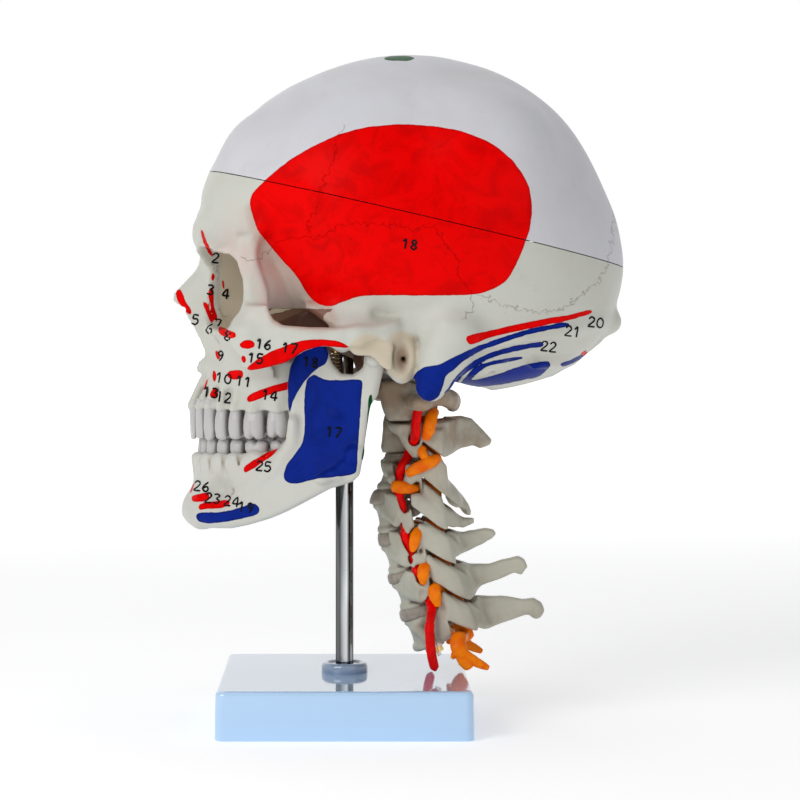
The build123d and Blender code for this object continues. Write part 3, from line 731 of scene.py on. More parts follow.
def nose_opening():
    heights = [150, 156.6, 158, 161, 165, 170, 175, 180, 183, 186, 190]
    half_widths = [-8, -4, 6, 10.8, 11.9, 10.8, 8.8, 6.2, 4, -1, -6]
    front, back = -82, -53

    def distance(x, y, z):
        side = (np.abs(x) - np.interp(z, heights, half_widths)) * 0.86
        return soft_max(soft_max(side, y - back, 1.5), front - y, 0.5)

    return Solid((0, front, 150), (16, back, 190), distance)


def face_relief(bone):
    """A shell behind the front relief, over the whole grid."""
    x, y, z = bone.grid()
    x2, z2 = x[:, 0], z[0]
    front = face_y(x2, z2)
    slope_x, slope_z = np.gradient(front, bone.step)
    slope = np.sqrt(1 + np.clip(slope_x * slope_x + slope_z * slope_z, 0, 7))
    half_width = np.interp(z2, *FACE_HALF_WIDTH)
    shell = front + (11.0 - 3.0 * ease(38, 50, x2))
    # outer rim of the socket: its rear edge lies farther back low down
    rim = np.interp(z2, [165, 176, 183, 190, 205, 214, 226],
                    [-24, -29.6, -31.8, -32.6, -37.4, -37.4, -30])
    outer = np.where(z2 > 172, np.minimum(shell, rim), shell)
    core = np.interp(x2, [0, 20, 27, 33, 38], [-22, -22, -24, -33, -60])
    core = np.where(z2 > 178, -60, core)
    back = np.maximum(np.where(x2 > 30, outer, shell), core)
    for _ in range(3):
        p = np.pad(back, 1, mode="edge")
        back = (p[:-2, 1:-1] + p[2:, 1:-1] + p[1:-1, :-2] + p[1:-1, 2:] + 2 * back) / 6
    before = (front[:, None, :] - y) / slope[:, None, :]
    beside = (x - half_width[:, None, :]) * 0.9
    behind = (y - back[:, None, :]) * 0.9
    relief = soft_max(soft_max(before, beside, 4.0), behind, 3.0)
    relief = soft_max(relief, 148.0 - z, 2.0)
    return soft_max(relief, z - 226.0, 4.0)


def middle_block():
    """The block that holds the sockets (ethmoid and sphenoid)."""
    outline = [(-60, 178), (-60, 207), (-40, 212), (-10, 205), (-6, 172), (-20, 168),
               (-24, 150), (-40, 150), (-52, 165)]

    def distance(x, y, z):
        side = polygon_distance(outline, y[0], z[0])[None]
        half = np.interp(y, [-60, -44, -36, -22, -8], [46, 44, 39, 27, 22])
        low = np.minimum(half, np.interp(z, [150, 176], [24, 30]))
        return soft_max(side, (x - np.where(z < 176, low, half)) * 0.85, 3)

    return Solid((0, -60, 150), (46, -6, 212), distance)


def upper_tooth_ridge():
    from_arch = plan_lookup(smooth_line(UPPER_ARCH, 3), np.linspace(0, 44, 89),
                            np.linspace(-80, -8, 145))

    def distance(x, y, z):
        back = np.interp(z, [137, 139, 141, 144, 148, 152, 156, 160],
                         [1.6, 2.4, 3.4, 4.9, 6.4, 6.1, 5.9, 5.9])
        shifted = y - back * ease(-38, -60, y) - 0.4 * back * ease(-20, -40, y)
        radius = np.interp(z, [137, 138.4, 141, 147, 152, 160], [4.2, 4.5, 4.4, 4.4, 4.3, 4.2])
        radius = radius + 0.8 * ease(-55, -35, y)
        return soft_max(from_arch(x, shifted) - radius, np.maximum(138.6 - z, z - 160), 1.2)

    return Solid((0, -74, 137), (40, -13, 160), distance)


def add_upper_jaw(bone):
    bone.add(upper_tooth_ridge(), 2.5)
    bone.add(ball((0, -40, 158), (28, 26, 9)), 3)    # floor of the nose, roof of the mouth
    for i, tooth in enumerate(UPPER_TEETH):
        is_front = i < 3
        x, y = tooth.centre + tooth.outward * (1.9 if is_front else 3.6)
        top, radius = ROOT_TOPS[i], tooth.width * 0.30
        bone.add(rod((x, y, 139.5), (x * 0.985, y + (4.2 if is_front else 2.0), top),
                     radius, radius * 0.6), 2.2)
        if i < 6:                      # dips between the roots
            x, y = (tooth.centre + tooth.along * (tooth.width / 2)
                    + tooth.outward * (4.6 if is_front else 6.2))
            bone.cut(rod((x, y, 137.5), (x * 0.99, y + 1, top - 3), 1.1, 0.5), 1.6)
    bone.cut(ball((0, -38, 140), (21, 25, 11.5)), 3)         # palate
    bone.cut(ball((0, -14, 141), (20, 16, 10)), 3)
    bone.cut(ball((26, -61, 161), (7, 5.5, 7)), 5)           # dent above the canine root


def add_brow_and_cheek(bone):
    # upper and lower rim of the socket
    bone.add(tube([(14, -59.8, 204), (19, -61.6, 208), (27, -60.8, 210), (35, -57.2, 209.2),
                   (42, -51.6, 205.6), (46.3, -47, 199)], [2.6, 2.9, 2.7, 2.5, 2.6, 2.6]), 3.5)
    bone.add(tube([(14.5, -57.5, 186), (16, -58.5, 180), (22, -58.2, 175.4), (29, -56, 173.6),
                   (36, -52.2, 174), (42, -47.4, 177.5), (46.2, -43.6, 184), (47.2, -42.2, 191),
                   (47, -43.6, 198)], [2.0, 2.2, 2.2, 2.2, 2.2, 2.3, 2.4, 2.5, 2.6]), 3.0)
    bone.add(ball((0, -60.6, 217), (12, 5, 7)), 6)           # glabella
    bone.add(tube([(7, -61.4, 214), (15, -61.6, 218), (25, -59, 221)], [3.4, 3.2, 2.0]), 7)
    # temporal line
    bone.add(tube([(46, -43, 206), (48.3, -40, 211), (49, -33, 221), (52, -22, 234),
                   (57, -6, 246)], [2.2, 2.0, 1.6, 1.2, 0.8]), 5)
    # side process of the socket
    bone.add(plate([(-45.5, 207), (-43.4, 199), (-42.4, 190), (-42.5, 183), (-33, 183),
                    (-33.6, 190), (-37.6, 200), (-38.8, 207), (-38, 213), (-46, 214)],
                   48.3, 2.6, 2.0), 3)
    # cheekbone body and arch
    bone.add(ball((50.5, -40.5, 171), (8.5, 8.5, 9)), 6)
    arch_outline = [
        (-44, 158), (-40, 156.2), (-33, 157.5), (-25, 159.8), (-16.7, 164.8), (-11, 166.6),
        (0, 166.8), (8, 167.2), (16, 168.2), (22, 171), (22, 177.6), (14, 175.2), (4, 174.6),
        (-15, 174.8), (-26, 175.6), (-30, 178), (-33, 184), (-42, 184)]
    bone.add(plate(
        arch_outline,
        lambda y, z: np.interp(y, [-46, -38, -27, -15, -2, 8, 18, 26],
                               [50.5, 54, 59.3, 62.8, 64.2, 63.6, 60.5, 55]),
        lambda y, z: np.interp(y, [-46, -30, -10, 10, 22], [3.2, 3.0, 2.5, 2.8, 5]), 2.4), 3.0)
    # rear root of the arch and crest over the ear
    bone.add(tube([(63, 6, 171), (59.5, 14, 170.6), (56, 24, 173.5), (55, 36, 178),
                   (55.5, 46, 186)], [3.6, 4.6, 4.6, 4.0, 2.6]), 5)
    # eminence and roof of the jaw joint
    bone.add(tube([(61, -1.5, 168.6), (53, -1, 167.4), (43, -3, 168.6)], [3.4, 3.6, 3.6]), 4)
    bone.add(ball((46, 10, 173), (15, 14, 8.5)), 4)


def add_underside(bone):
    # mastoid, with its notch
    bone.add(tube([(54, 46, 173), (54.2, 42.5, 164), (53.2, 38.6, 154.6), (52, 36.8, 149.6)],
                  [13.0, 11.6, 8.8, 6.6]), 5)
    bone.add(tube([(43, 54, 160), (44, 62, 163)], [8, 7]), 6)
    bone.cut(tube([(41.5, 34, 147), (43, 50, 150.5), (46, 62, 154)], [2.8, 2.6, 1.6]), 2.5)
    # ring of the ear canal
    bone.add(ball((52.5, 24.4, 161.6), (8.2, 6.3, 11)), 2.2)
    bone.add(ball((48, 24.5, 163), (11, 8.5, 11)), 3)
    # floor of the skull
    bone.add(tube([(0, -8, 172), (0, 4, 164), (0, 20, 155.5)], [11, 9.0, 6.5], (1.35, 1, 0.9)), 5)
    bone.add(ball((30, 26, 160), (18, 12, 8)), 6)            # petrous part
    bone.add(ball((24, 10.5, 161.5), (8.5, 7, 9)), 3)        # floor beside the joint
    bone.add(tube([(13.5, 25.5, 154.2), (17, 36, 155.2)], [4.4, 4.4]), 2.5)   # condyles
    # median crest, occipital protuberance, upper and lower nuchal lines
    bone.add(tube([(0, 66, 148.2), (0, 92, 154.5), (0, 112, 169)], [1.4, 1.6, 2.2]), 4)
    bone.add(ball((0, 117.5, 176.5), (9, 5.5, 5)), 6)
    bone.add(tube([(6, 117, 176.5), (26, 109.5, 177.5), (42, 95, 174), (52, 76, 170),
                   (55, 60, 168)], [2.2, 1.8, 1.7, 1.7, 2.0]), 6)
    bone.add(tube([(4, 100, 161), (22, 94, 160.5), (38, 82, 158)], [1.8, 1.6, 1.5]), 6)
    # outer and inner wings behind the upper jaw
    bone.add(plate([(-24, 172), (-9, 173), (-6.5, 160), (-8.5, 149.5), (-12, 148.5), (-16, 152),
                    (-21, 152)], lambda y, z: 15.5 + (176 - z) * 0.13, 1.3, 1.2), 2)
    bone.add(plate([(-24, 172), (-12, 173), (-11, 160), (-12.5, 149), (-16, 150), (-21, 152)],
                   9.6, 1.1, 1.2), 2)
    bone.add(rod((12.5, -22, 156), (12.5, -21, 172), 5.5), 3)


def hollow_out(bone, brain):
    x, y, z = bone.grid()
    # thick floor with a raised front and rear part
    floor = np.interp(y, [-60, -45, -30, -18, -6, 4, 14, 26, 60, 100, 120],
                      [219, 214.5, 211.5, 209.5, 193, 188, 178, 160, 154, 160, 176])
    lateral = np.interp(y, [-60, -30, -18, -8, 2, 14, 24, 32, 60, 120],
                        [0, -3, -7, -9, -7, -4, 5, 1, 0, 0])
    inner = brain + BRAINCASE_WALL
    inner = soft_max(inner, (floor + lateral * ease(6, 30, x) - z) * 0.85, 6)
    # rib of the petrous bone, edge of the lesser wing, raised seat in the middle
    for ridge, blend in (
            (tube([(12, 6, 184), (30, 18, 181), (50, 32, 183)], [5.0, 6.0, 4.5]), 5),
            (tube([(6, -15, 210), (22, -20, 211), (42, -27, 214)], [2.2, 2.6, 2.0]), 3),
            (tube([(0, 4, 184), (0, 1, 192)], [9.5, 7.5], (1.5, 0.6, 1)), 4)):
        inner = soft_max(inner, -ridge.distance(x, y, z), blend)
    bone.carve(inner, 1.2)
    # walls of the socket and of the nose stay closed
    lining = eye_socket(SOCKET_LINING)
    bone.add(Solid(lining.low, lining.high,
                   lambda x, y, z: np.maximum(lining.distance(x, y, z), -40.0 - y)), 2)
    bone.add(Solid((0, -44, 160), (14, -8, 205), lambda x, y, z: np.maximum(
        np.maximum(x - 13.0, np.abs(y + 26) - 18), np.abs(z - 185) - 21)), 2)


def open_face(bone, outer):
    bone.cut(eye_socket(), 1.6)
    bone.cut(ball((40, -46.6, 192), (6.8, 12.6, 14.6)), 5)   # the socket opens to the side
    # the side wall behind the rim stays closed
    x, y, z = bone.grid()
    wall = np.maximum(outer, -(outer + 2.4))
    box = np.maximum(np.maximum(-40.0 - y, y + 20), np.maximum(31 - x, np.abs(z - 199) - 17))
    bone.merge(np.maximum(wall, box), 0.8)
    bone.add(ball((41, -36.5, 208), (5, 5.5, 7)), 4)         # side wall at the socket's back
    bone.cut(nose_opening(), 1.2)
    bone.cut(Solid((0, -58, 157), (12, -10, 190), lambda x, y, z: soft_max(
        soft_max(np.abs(x) - np.interp(z, [157, 165, 176, 186], [9.8, 11, 6.5, 2.0]),
                 np.abs(y + 34) - 25, 2), np.maximum(157.6 - z, z - 185), 3)), 1.5)
    bone.cut(rod((26.5, -60, 167), (24.5, -46, 172), 1.9), 1.0)          # below the socket
    bone.cut(rod((24, -68, 207.6), (24, -58, 208.6), 1.5), 1.0)          # notch above it
    bone.cut(rod((48, -50, 176), (50, -36, 177), 0.9), 0.6)
    bone.cut(rod((13, -52, 184), (12.5, -40, 176), 2.4, 1.8), 1.5)       # tear duct
    bone.cut(rod((11, -20, 196), (7, -6, 199), 2.6), 1.0)                # optic canal
    bone.cut(tube([(17, -21, 189), (24, -25, 197.5)], [1.5, 1.0]), 1.0)  # slit beside it
    bone.cut(tube([(18, -22, 184), (29, -42, 178.5)], [1.6, 1.2]), 1.0)
    bone.cut(rod((0, -63, 157), (0, -50, 158), 0.5), 0.5)


def open_underside(bone):
    # jaw joint, and its thin outer wall in front of the ear
    bone.cut(rod((38, 12.6, 162.4), (66, 13.4, 162.4), 6.9), 1.5)
    bone.add(plate([(2, 165.2), (3.4, 163.6), (5.2, 162.7), (10.6, 162.6), (12.8, 161.5),
                    (14.7, 159.1), (17.1, 157), (20.4, 156.4), (21.5, 166), (18, 171), (3, 171)],
                   62.3, 1.25, 1.0), 1.0)
    # ear canal
    bone.cut(ball((62.6, 24.6, 161.6), (5.2, 4.3, 8.4)), 1.4)
    bone.cut(rod((60, 24.8, 161), (52, 25, 161.6), 1.3, 1.0), 1.2)
    # foramen magnum, carotid, jugular and oval holes, then two unnamed canals
    bone.cut(rod((0, FORAMEN_Y, 138), (0, FORAMEN_Y, 164), 15.6), 1.6)
    bone.cut(rod((30, 20, 150), (31, 21, 161), 2.6), 1.0)
    bone.cut(rod((26, 29, 150), (27, 31, 163), 3.2, 2.6, (1.4, 1, 1)), 1.2)
    bone.cut(rod((22, 4, 150), (22, 4, 178), 2.6, 2.4, (1, 1.5, 1)), 1.2)
    bone.cut(rod((18, 12, 150), (17, 12, 168), 3.0, 2.0), 1.5)
    bone.cut(rod((18, -7, 190), (20, -18, 183), 1.6), 0.8)
    # clearance for the turning cap and its flange, and for the screws of the jaw springs
    bone.add(rod((0, 0, 172), (0, 0, 182), 12), 3)
    bone.bore(0, 0, 172, radius=7.3, half_height=12.6)
    bone.bore(0, 0, 160, radius=10.6, half_height=7.4)
    bone.add(rod((SPRING_X, SPRING_Y, 172.5), (SPRING_X, SPRING_Y, 182), 4.2), 2)
    bone.bore(SPRING_X, SPRING_Y, 163, radius=2.7, half_height=5.8)


def open_behind_arch(bone):
    """The gap between the side wall and the arch, open towards the throat."""
    outline = [(-33.5, 172), (-33, 180.6), (-31, 182.6), (-17, 182.2), (-12, 179.2),
               (-6, 174.6), (-8, 168), (-14, 164), (-28, 164)]

    def distance(x, y, z):
        side = polygon_distance(outline, y[0], z[0])[None]
        return soft_max(side, np.maximum(19.5 + 0.30 * np.abs(y + 20) - x, x - 57.5), 1.0)

    bone.cut(Solid((18, -34, 163), (58, -5, 183), distance), 0.8)
    # root of the arch
    bone.add(plate(
        [(-16.5, 185), (-16.6, 182.7), (-12, 179.6), (-6.4, 175.2), (-5.4, 171), (10, 171),
         (10, 187)],
        lambda y, z: (np.interp(y, [-17, -8, 0, 10], [50.5, 53.5, 55, 56])
                      - 0.42 * np.clip(z - 177, 0, 12)), 4.0, 3.0), 5.0)


def add_nose_and_small_parts(bone):
    # thin wall in the middle of the nose
    bone.add(Solid((0, -58, 156), (3, -12, 190), lambda x, y, z: soft_max(
        np.abs(x) - 0.95,
        np.maximum(np.abs(y + 35) - np.interp(z, [157, 170, 188], [23, 19, 24]),
                   np.abs(z - 173) - 16.5), 0.5)), 1.2)
    # two scrolls on its side wall
    bone.add(tube([(10.5, -52, 164), (8.2, -44, 162.4), (8.4, -26, 163)], [1.5, 2.3, 2.0],
                  (0.75, 1, 1)), 1.0)
    bone.add(tube([(9.5, -50, 174.5), (7, -42, 172.5), (7.2, -26, 173)], [1.2, 1.9, 1.7],
                  (0.75, 1, 1)), 1.0)
    # spine under the opening, and the opening's edge
    bone.add(tube([(0, -56, 156.4), (0, -61.4, 155.6), (0, -64.6, 155)], [2.6, 1.6, 0.8]), 2)
    bone.add(tube([(10.8, -58.4, 158.4), (12.6, -60.2, 163), (11.6, -62.6, 169),
                   (9.4, -65.8, 175), (6.6, -69.6, 181)], [0.9, 0.9, 1.0, 1.0, 1.1]), 1.6)
    # styloid, and two small holes below
    bone.add(tube([(41, 27, 158), (40.4, 26.4, 155), (40, 26, 152.4)], [2.4, 1.5, 0.8]), 2)
    bone.cut(rod((45, 30.5, 150), (45, 31, 158), 1.3), 0.8)
    bone.cut(rod((31, 66, 150), (33, 62, 158), 1.2), 0.6)


def build_cranium():
    bone = Field((0, -80, 130), (74, 128, 259), 1.12)
    brain = braincase(bone)
    bone.values = brain
    bone.merge(face_relief(bone), 5.0)
    bone.add(middle_block(), 3)
    add_upper_jaw(bone)
    add_brow_and_cheek(bone)
    add_underside(bone)
    outer = bone.values.copy()
    hollow_out(bone, brain)
    open_face(bone, outer)
    open_underside(bone)
    open_behind_arch(bone)
    add_nose_and_small_parts(bone)
    return bone


def build_calvaria():
    bone = Field((0, -68, 190), (74, 128, 299), 1.15)
    outer = braincase(bone)
    bone.values = np.maximum(outer, -(outer + BRAINCASE_WALL))
    return bone


# ------------------------------------------------------------------ lower jaw
# middle line of the bone in plan (x, y)
JAW_PLAN = [(0, -62.3), (8, -61.2), (15, -57.6), (21.5, -50.8), (26.5, -42), (31, -32),
            (36, -21), (41.5, -9), (45.5, 2), (47.3, 13), (48, 24)]
# side outline (y, z)
JAW_SIDE = points("""
    -90,86.4 -60,86.3 -49,86.9 -42,88.6 -35,90.8 -31,92.2 -24,95.4 -17,99.2 -10,103.2
    -6,105.4 -1,107 3.6,108.6 6.6,111.5 7.8,118 9,127 10.6,138 12.6,147 14.6,153
    16.2,157.5 16,161 10.2,161 7.6,157.4 3.6,154.6 -1.4,155 -5.2,159.4 -8,166.6
    -12.2,170.6 -16.4,168.4 -20.4,163.4 -23.4,157.5 -24.6,150 -24.4,140 -23.4,132
    -23.8,126 -27,121.6 -35,119.6 -50,118.4 -90,117.4""")
LOWER_ROOTS = (108, 108, 104, 107, 108, 109, 111)    # lower ends of the roots


def jaw_body():
    from_plan = plan_lookup(smooth_line(JAW_PLAN, 5), np.linspace(-4, 64, 137),
                            np.linspace(-80, 26, 213))

    def distance(x, y, z):
        side = polygon_distance(JAW_SIDE, y[0], z[0])[None]
        shift = np.interp(z, [84, 87.4, 91, 94.7, 98, 102, 106, 109, 112.5, 118],
                          [1.5, -0.6, -3.3, -3.5, -2.8, -1.4, 0.1, 0.8, 0.6, 0])
        shift = shift * ease(-38, -61, y)
        flare = np.interp(z, [92, 104, 112, 135, 150, 170], [-0.8, 0.6, 1.6, 0.0, 0.4, 2.6])
        flare = flare * ease(-32, -8, y)
        half = np.interp(y, [-70, -40, -27, -14, 0, 16], [5.0, 5.3, 4.9, 3.7, 2.9, 2.8])
        half = half + np.interp(z, [86, 90, 98, 108, 118],
                                [0.5, 0.9, 0.2, -0.5, -0.3]) * ease(-18, -34, y)
        half = half + 1.0 * ease(-18, -23.5, y) * ease(118, 128, z) * (1 - ease(150, 165, z))
        return soft_max(side, from_plan(x - flare, y - shift) - half, 3.4)

    return Solid((0, -76, 84), (60, 20, 173), distance)


def lower_tooth_ridge():
    arch_line = smooth_line(LOWER_ARCH, 3)

    def distance(x, y, z):
        off = line_distance(arch_line, x[:, :, 0], y[:, :, 0])[:, :, None]
        radius = np.interp(z, [104, 110, 115, 118, 121], [3.6, 4.3, 4.7, 4.6, 4.2])
        top = np.interp(y, [-67, -50, -35, -22], [117.4, 118.4, 119.8, 121.2])
        return soft_max(off - radius, np.maximum(104 - z, z - top), 1.4)

    return Solid((0, -70, 104), (36, -14, 122), distance)


def build_mandible():
    bone = Field((0, -76, 84), (60, 20, 173), 0.82)
    bone.add(jaw_body())
    bone.add(lower_tooth_ridge(), 2.5)
    for i, tooth in enumerate(LOWER_TEETH):
        x, y = tooth.centre + tooth.outward * 3.6
        bone.add(rod((x, y, 116.5 + 0.4 * i), (x, y + 0.8, LOWER_ROOTS[i]),
                     tooth.width * 0.28, tooth.width * 0.16), 2.4)
        if i < 6:                      # dips between the roots
            x, y = tooth.centre + tooth.along * (tooth.width / 2) + tooth.outward * 5.4
            bone.cut(rod((x, y, 119.6 + 0.4 * i), (x, y + 0.5, 111), 0.9, 0.4), 1.6)
    # chin
    bone.add(ball((0, -66.3, 93.6), (7, 4.6, 6.4)), 5)
    bone.add(ball((11, -63.2, 90.6), (6, 4.4, 4)), 5)
    # oblique line, and the hollow and hole beside the chin
    bone.add(tube([(42.5, -22.2, 134), (40.2, -22.6, 125), (36.6, -29, 115), (32, -38, 108),
                   (29, -45, 104)], [1.8, 2.4, 2.2, 1.6, 0.8]), 4)
    bone.cut(ball((27.5, -55.5, 104), (9, 6, 5)), 7)
    bone.cut(rod((24, -56, 103.4), (25.5, -45, 102.6), 1.35), 0.8)
    # outer face of the upright part, and bumps at the angle
    bone.cut(ball((53, -7, 128), (6, 11, 18)), 6)
    for y, z in ((-4, 112), (1, 115.5), (4, 121), (-10, 110)):
        bone.add(ball((49.2, y, z), (2.2, 3.2, 2.4)), 3)
    # inner face: dent, canal, lip and line
    bone.cut(ball((37, 0, 116), (4.5, 8, 8)), 4)
    bone.cut(rod((36, -1, 133), (41.2, 0.5, 129.5), 2.0), 1.5)
    bone.add(rod((39.5, -5, 134), (41, -2.5, 129.5), 1.2), 1.5)
    bone.add(tube([(31, -24, 117), (25.5, -38, 109), (15, -52, 101)], [1.3, 1.2, 0.6]), 3)
    bone.add(rod((2.2, -55.5, 97), (2.4, -55.3, 93), 1.3), 1.5)
    # condyle and its neck
    bone.add(tube([(46.8, 11.2, 147), (47.8, 12.2, 156), (48.8, 13, 160.4)], [3.2, 3.6, 3.8],
                  (1.1, 1, 1)), 3)
    bone.add(tube([(42.6, 13.4, 161.6), (49, 12.8, 162), (55.8, 12.4, 161.4)],
                  [3.7, 4.25, 3.6]), 2.0)
    bone.cut(ball((44.4, 7.4, 158.4), (3.4, 2.3, 3.4)), 1.6)
    # seat of the spring
    post = rod((SPRING_X, SPRING_Y, 140), (SPRING_X, SPRING_Y, 147), 4.0)
    bone.add(Solid((33, -9, 136), (46, 1, 145.7),
                   lambda x, y, z: soft_max(post.distance(x, y, z), z - 145.6, 0.4)), 1.0)
    bone.add(rod((38.5, -4, 139), (43, -4, 136), 3.4), 3)
    bone.bore(SPRING_X, SPRING_Y, 149.6, radius=4.6, half_height=3.9, blend=0.4)
    return bone


# ------------------------------------------------------------------ neck bones
# centre (y, z) of the body, tilt in degrees, body height, tip (y, z) of the spine
Level = namedtuple("Level", "centre tilt height tip")
LEVELS = {
    3: Level((24.0, 110.0), 6.0, 12.6, (55.0, 92.8)),
    4: Level((23.2, 91.0), 11.0, 11.8, (58.6, 85.2)),
    5: Level((26.6, 73.2), 17.0, 11.6, (66.0, 82.4)),
    6: Level((31.4, 57.2), 20.0, 11.4, (79.5, 67.5)),
    7: Level((37.0, 40.0), 20.0, 12.8, (86.5, 49.5)),
}
# facet joint under each level: a point (y, z) on it and its slope in degrees
FACETS = {2: ((40, 119), 38), 3: ((39, 104), 40), 4: ((40, 87.5), 36), 5: ((44.5, 71.5), 30),
          6: ((49.5, 56.5), 28), 7: ((54.5, 41.5), 24)}
FACET_GAP = 0.62                       # from the joint's plane to either bone
BODY_SHIFT = {3: 0.75, 4: -0.6}        # of the body towards the back
BODY_LEAN = {3: 0.34}                  # the same, per millimetre of height
HOLE_X = 16.5                          # the artery's hole, in a level's own axes
HOLE_Y = {3: 0.2, 4: 2.8, 5: 3.4, 6: 4.8, 7: 2.0}
# side outlines (y, z) of arch and spine
SILHOUETTES = {
    2: points("""
        36.6,134.1 40.3,135.3 45.7,134.4 52,134.8 56.5,133.7 61,129.2 65.4,124.2 64.7,122.1
        60.1,120.3 57,121.7 52,120.6 49.3,119.2 44.8,117 41.6,119.2 36.6,122.1 33.9,121.9
        33.9,128.3"""),
    3: points("""
        28.9,104.9 29.4,108.5 33,112.1 36.6,113.9 39.7,115.3 42.9,111.7 47.4,104.9 52.8,99.3
        55.1,95.4 56.2,92.3 56,90.8 53.7,90.8 51,94.1 45.6,96.3 41.8,97.7 39.3,95.1
        37.9,96.8 33.9,102.2 31.2,104.2"""),
    4: points("""
        29.4,97.7 30.4,101.3 33.9,101.3 38.6,95.7 41.8,97.2 46.5,94.1 51.9,90.3 57.5,89.3
        57.5,87.3 52.8,85 48.3,85.8 44,86.7 40.6,84.3 36.6,87.3 32.5,90.3 29.5,89.1"""),
    5: points("""
        30.4,88.2 33,88.5 37.5,87.3 40.6,84.1 42.9,85.2 50.1,83.7 57.3,84.1 62.7,85 66.3,84.3
        67.4,82.5 65.4,80.1 60.9,77.4 55.5,75.1 51,73.8 46.5,71.5 44.7,69.1 41.1,71.5
        36.6,74.9 33,73.8 31.2,78.7"""),
    6: points("""
        33.9,72 36.6,74.9 41.1,71.3 44.7,69.1 48.3,70.6 55.5,68.8 64.5,69.3 70,71.1 77.2,72.6
        79.9,71.1 81.3,67.9 78.8,64.1 75.4,64.9 68.2,62 60.9,59.3 56,54.4 51.9,52.4
        46.5,56.6 42.9,60 37.5,61.1 34.8,65.2"""),
    7: points("""
        40.2,55.3 42.9,59.8 46.5,56.9 51.9,52.4 57.3,55.1 70,54.6 79,53.5 84.4,53.9 87.3,51.7
        88.2,48.3 84.4,47.6 77.2,44.9 70,42.6 64.5,40.7 61.8,40.8 55.5,43.5 51.7,43.1
        50.1,39 45.6,37.2 42.4,39.9 42.9,49"""),
}
AXIS_TRANSVERSE = points("""
    20.1,132.9 26,133.4 32.6,133 35.4,127 34.4,121.2 33.2,118.3 31.9,116.7 29.5,117.6
    26.8,121 23.2,128.1""")
# side outlines (y, z) of the transverse processes, and of the troughs cut in them
TRANSVERSE = {
    3: points("""
        16.3,114.7 17.5,109.3 20.8,106.2 24.2,103.7 26.8,103.1 28.6,105.1 31.8,109.8
        31.8,114.2"""),
    4: points("""
        17.4,101.4 17.9,96.1 20.1,91.2 23.5,89.2 25,87.1 26.4,84.5 27.5,83.5 28.5,84
        29.3,86.3 29.5,89.8 30.4,91.4 32.2,93 32.2,101.4"""),
    5: points("""
        19.7,84.6 19.9,79.9 21.9,75.5 25.9,72 29,69.7 30.4,68.7 32.2,70.7 33.3,72.4
        33.4,74.6 32.6,76.4 34,79.1 34,84"""),
    6: points("""
        26.8,67.5 24.6,63 25.5,58.6 28.6,56.3 32.2,55.5 35.7,54.8 37.2,57.2 38,59.9
        37.5,63 36.6,66.6"""),
    7: points("39.8,49.5 39.9,41 41,37.6 42.9,36.7 46.5,39.3 46.9,47.4 45.6,54.1 42.4,55"),
}
TROUGHS = {
    3: points("21.8,115.6 22.2,109.8 23.5,107.3 25.5,107.3 26.6,109.8 26.8,115.6"),
    4: points("""
        22.3,104.1 22.9,98.8 24.1,95.2 26.1,92.9 28.1,93.8 29,96.5 28.9,100.1 28.6,104.1"""),
    5: points("""
        23.1,90.1 24.1,84 25.6,79.6 27.7,76.2 29.6,74.9 31.3,76 32.4,79.1 32.2,84
        31.3,90.1"""),
    6: points("29.9,72 30.7,66.6 31.7,63 34,61.3 35.3,63 35.9,66.1 35.7,72"),
}


def in_level(level, y, z):
    """Turns frame y, z into the level's own."""
    (centre_y, centre_z), tilt = level.centre, math.radians(level.tilt)
    c, s = math.cos(tilt), math.sin(tilt)
    off_y, off_z = y - centre_y, z - centre_z
    return off_y * c + off_z * s, -off_y * s + off_z * c


def tilted(centre, degrees, x, y, z):
    """Turns own x, y, z about a centre (y, z) into the frame's."""
    c, s = math.cos(math.radians(degrees)), math.sin(math.radians(degrees))
    return np.array([x, centre[0] + y * c - z * s, centre[1] + y * s + z * c])


def at_level(number, x, y, z):
    return tilted(LEVELS[number].centre, LEVELS[number].tilt, x, y, z)


def facet_height(number, y, z):
    """Height over the joint plane under a level, square to it."""
    (facet_y, facet_z), slope = FACETS[number]
    c, s = math.cos(math.radians(slope)), math.sin(math.radians(slope))
    return (y - facet_y) * s + (z - facet_z) * c


def vertebra_body(number):
    level = LEVELS[number]
    centre_y, centre_z = level.centre
    half_height = level.height / 2
    radius_x, radius_y = 9.7 + 0.12 * (number - 3), 8.5

    def distance(x, y, z):
        y, z = in_level(level, y, z)
        y = y - BODY_SHIFT.get(number, 0) - BODY_LEAN.get(number, 0) * np.clip(z, -7, 7)
        waist = 1 - 0.11 * (1 - np.clip(z / half_height, -1, 1) ** 2)
        flat = y + 0.8 * (y > 0) * (y / 8) ** 2
        shape = ((np.abs(x) / (radius_x * waist)) ** 2.3
                 + (np.abs(flat) / (radius_y * waist)) ** 2.2) ** (1 / 2.25)
        top = half_height - 0.7 + 2.6 * ease(5.0, 9.2, np.abs(x)) * ease(-7, 1, y)
        bottom = (-half_height - 0.9 * ease(-2, -7, y)
                  + 0.5 * (1 - np.clip(np.abs(x) / 9, 0, 1) ** 2))
        return soft_max((shape - 1) * 8.4, np.maximum(z - top, bottom - z), 1.5)

    return Solid((0, centre_y - 12, centre_z - 13), (14, centre_y + 12, centre_z + 13), distance)


def add_rim_bumps(bone, number):
    half_height = LEVELS[number].height / 2
    for degrees in range(-80, 81, 20):
        angle = math.radians(degrees)
        for z in (-half_height + 0.6, half_height - 0.4):
            lean = BODY_SHIFT.get(number, 0) + BODY_LEAN.get(number, 0) * z
            centre = at_level(number, abs(8.6 * math.sin(angle)),
                              -7.6 * math.cos(angle) + lean, z)
            bone.add(ball(centre, (1.7, 1.4, 1.0)), 1.6)


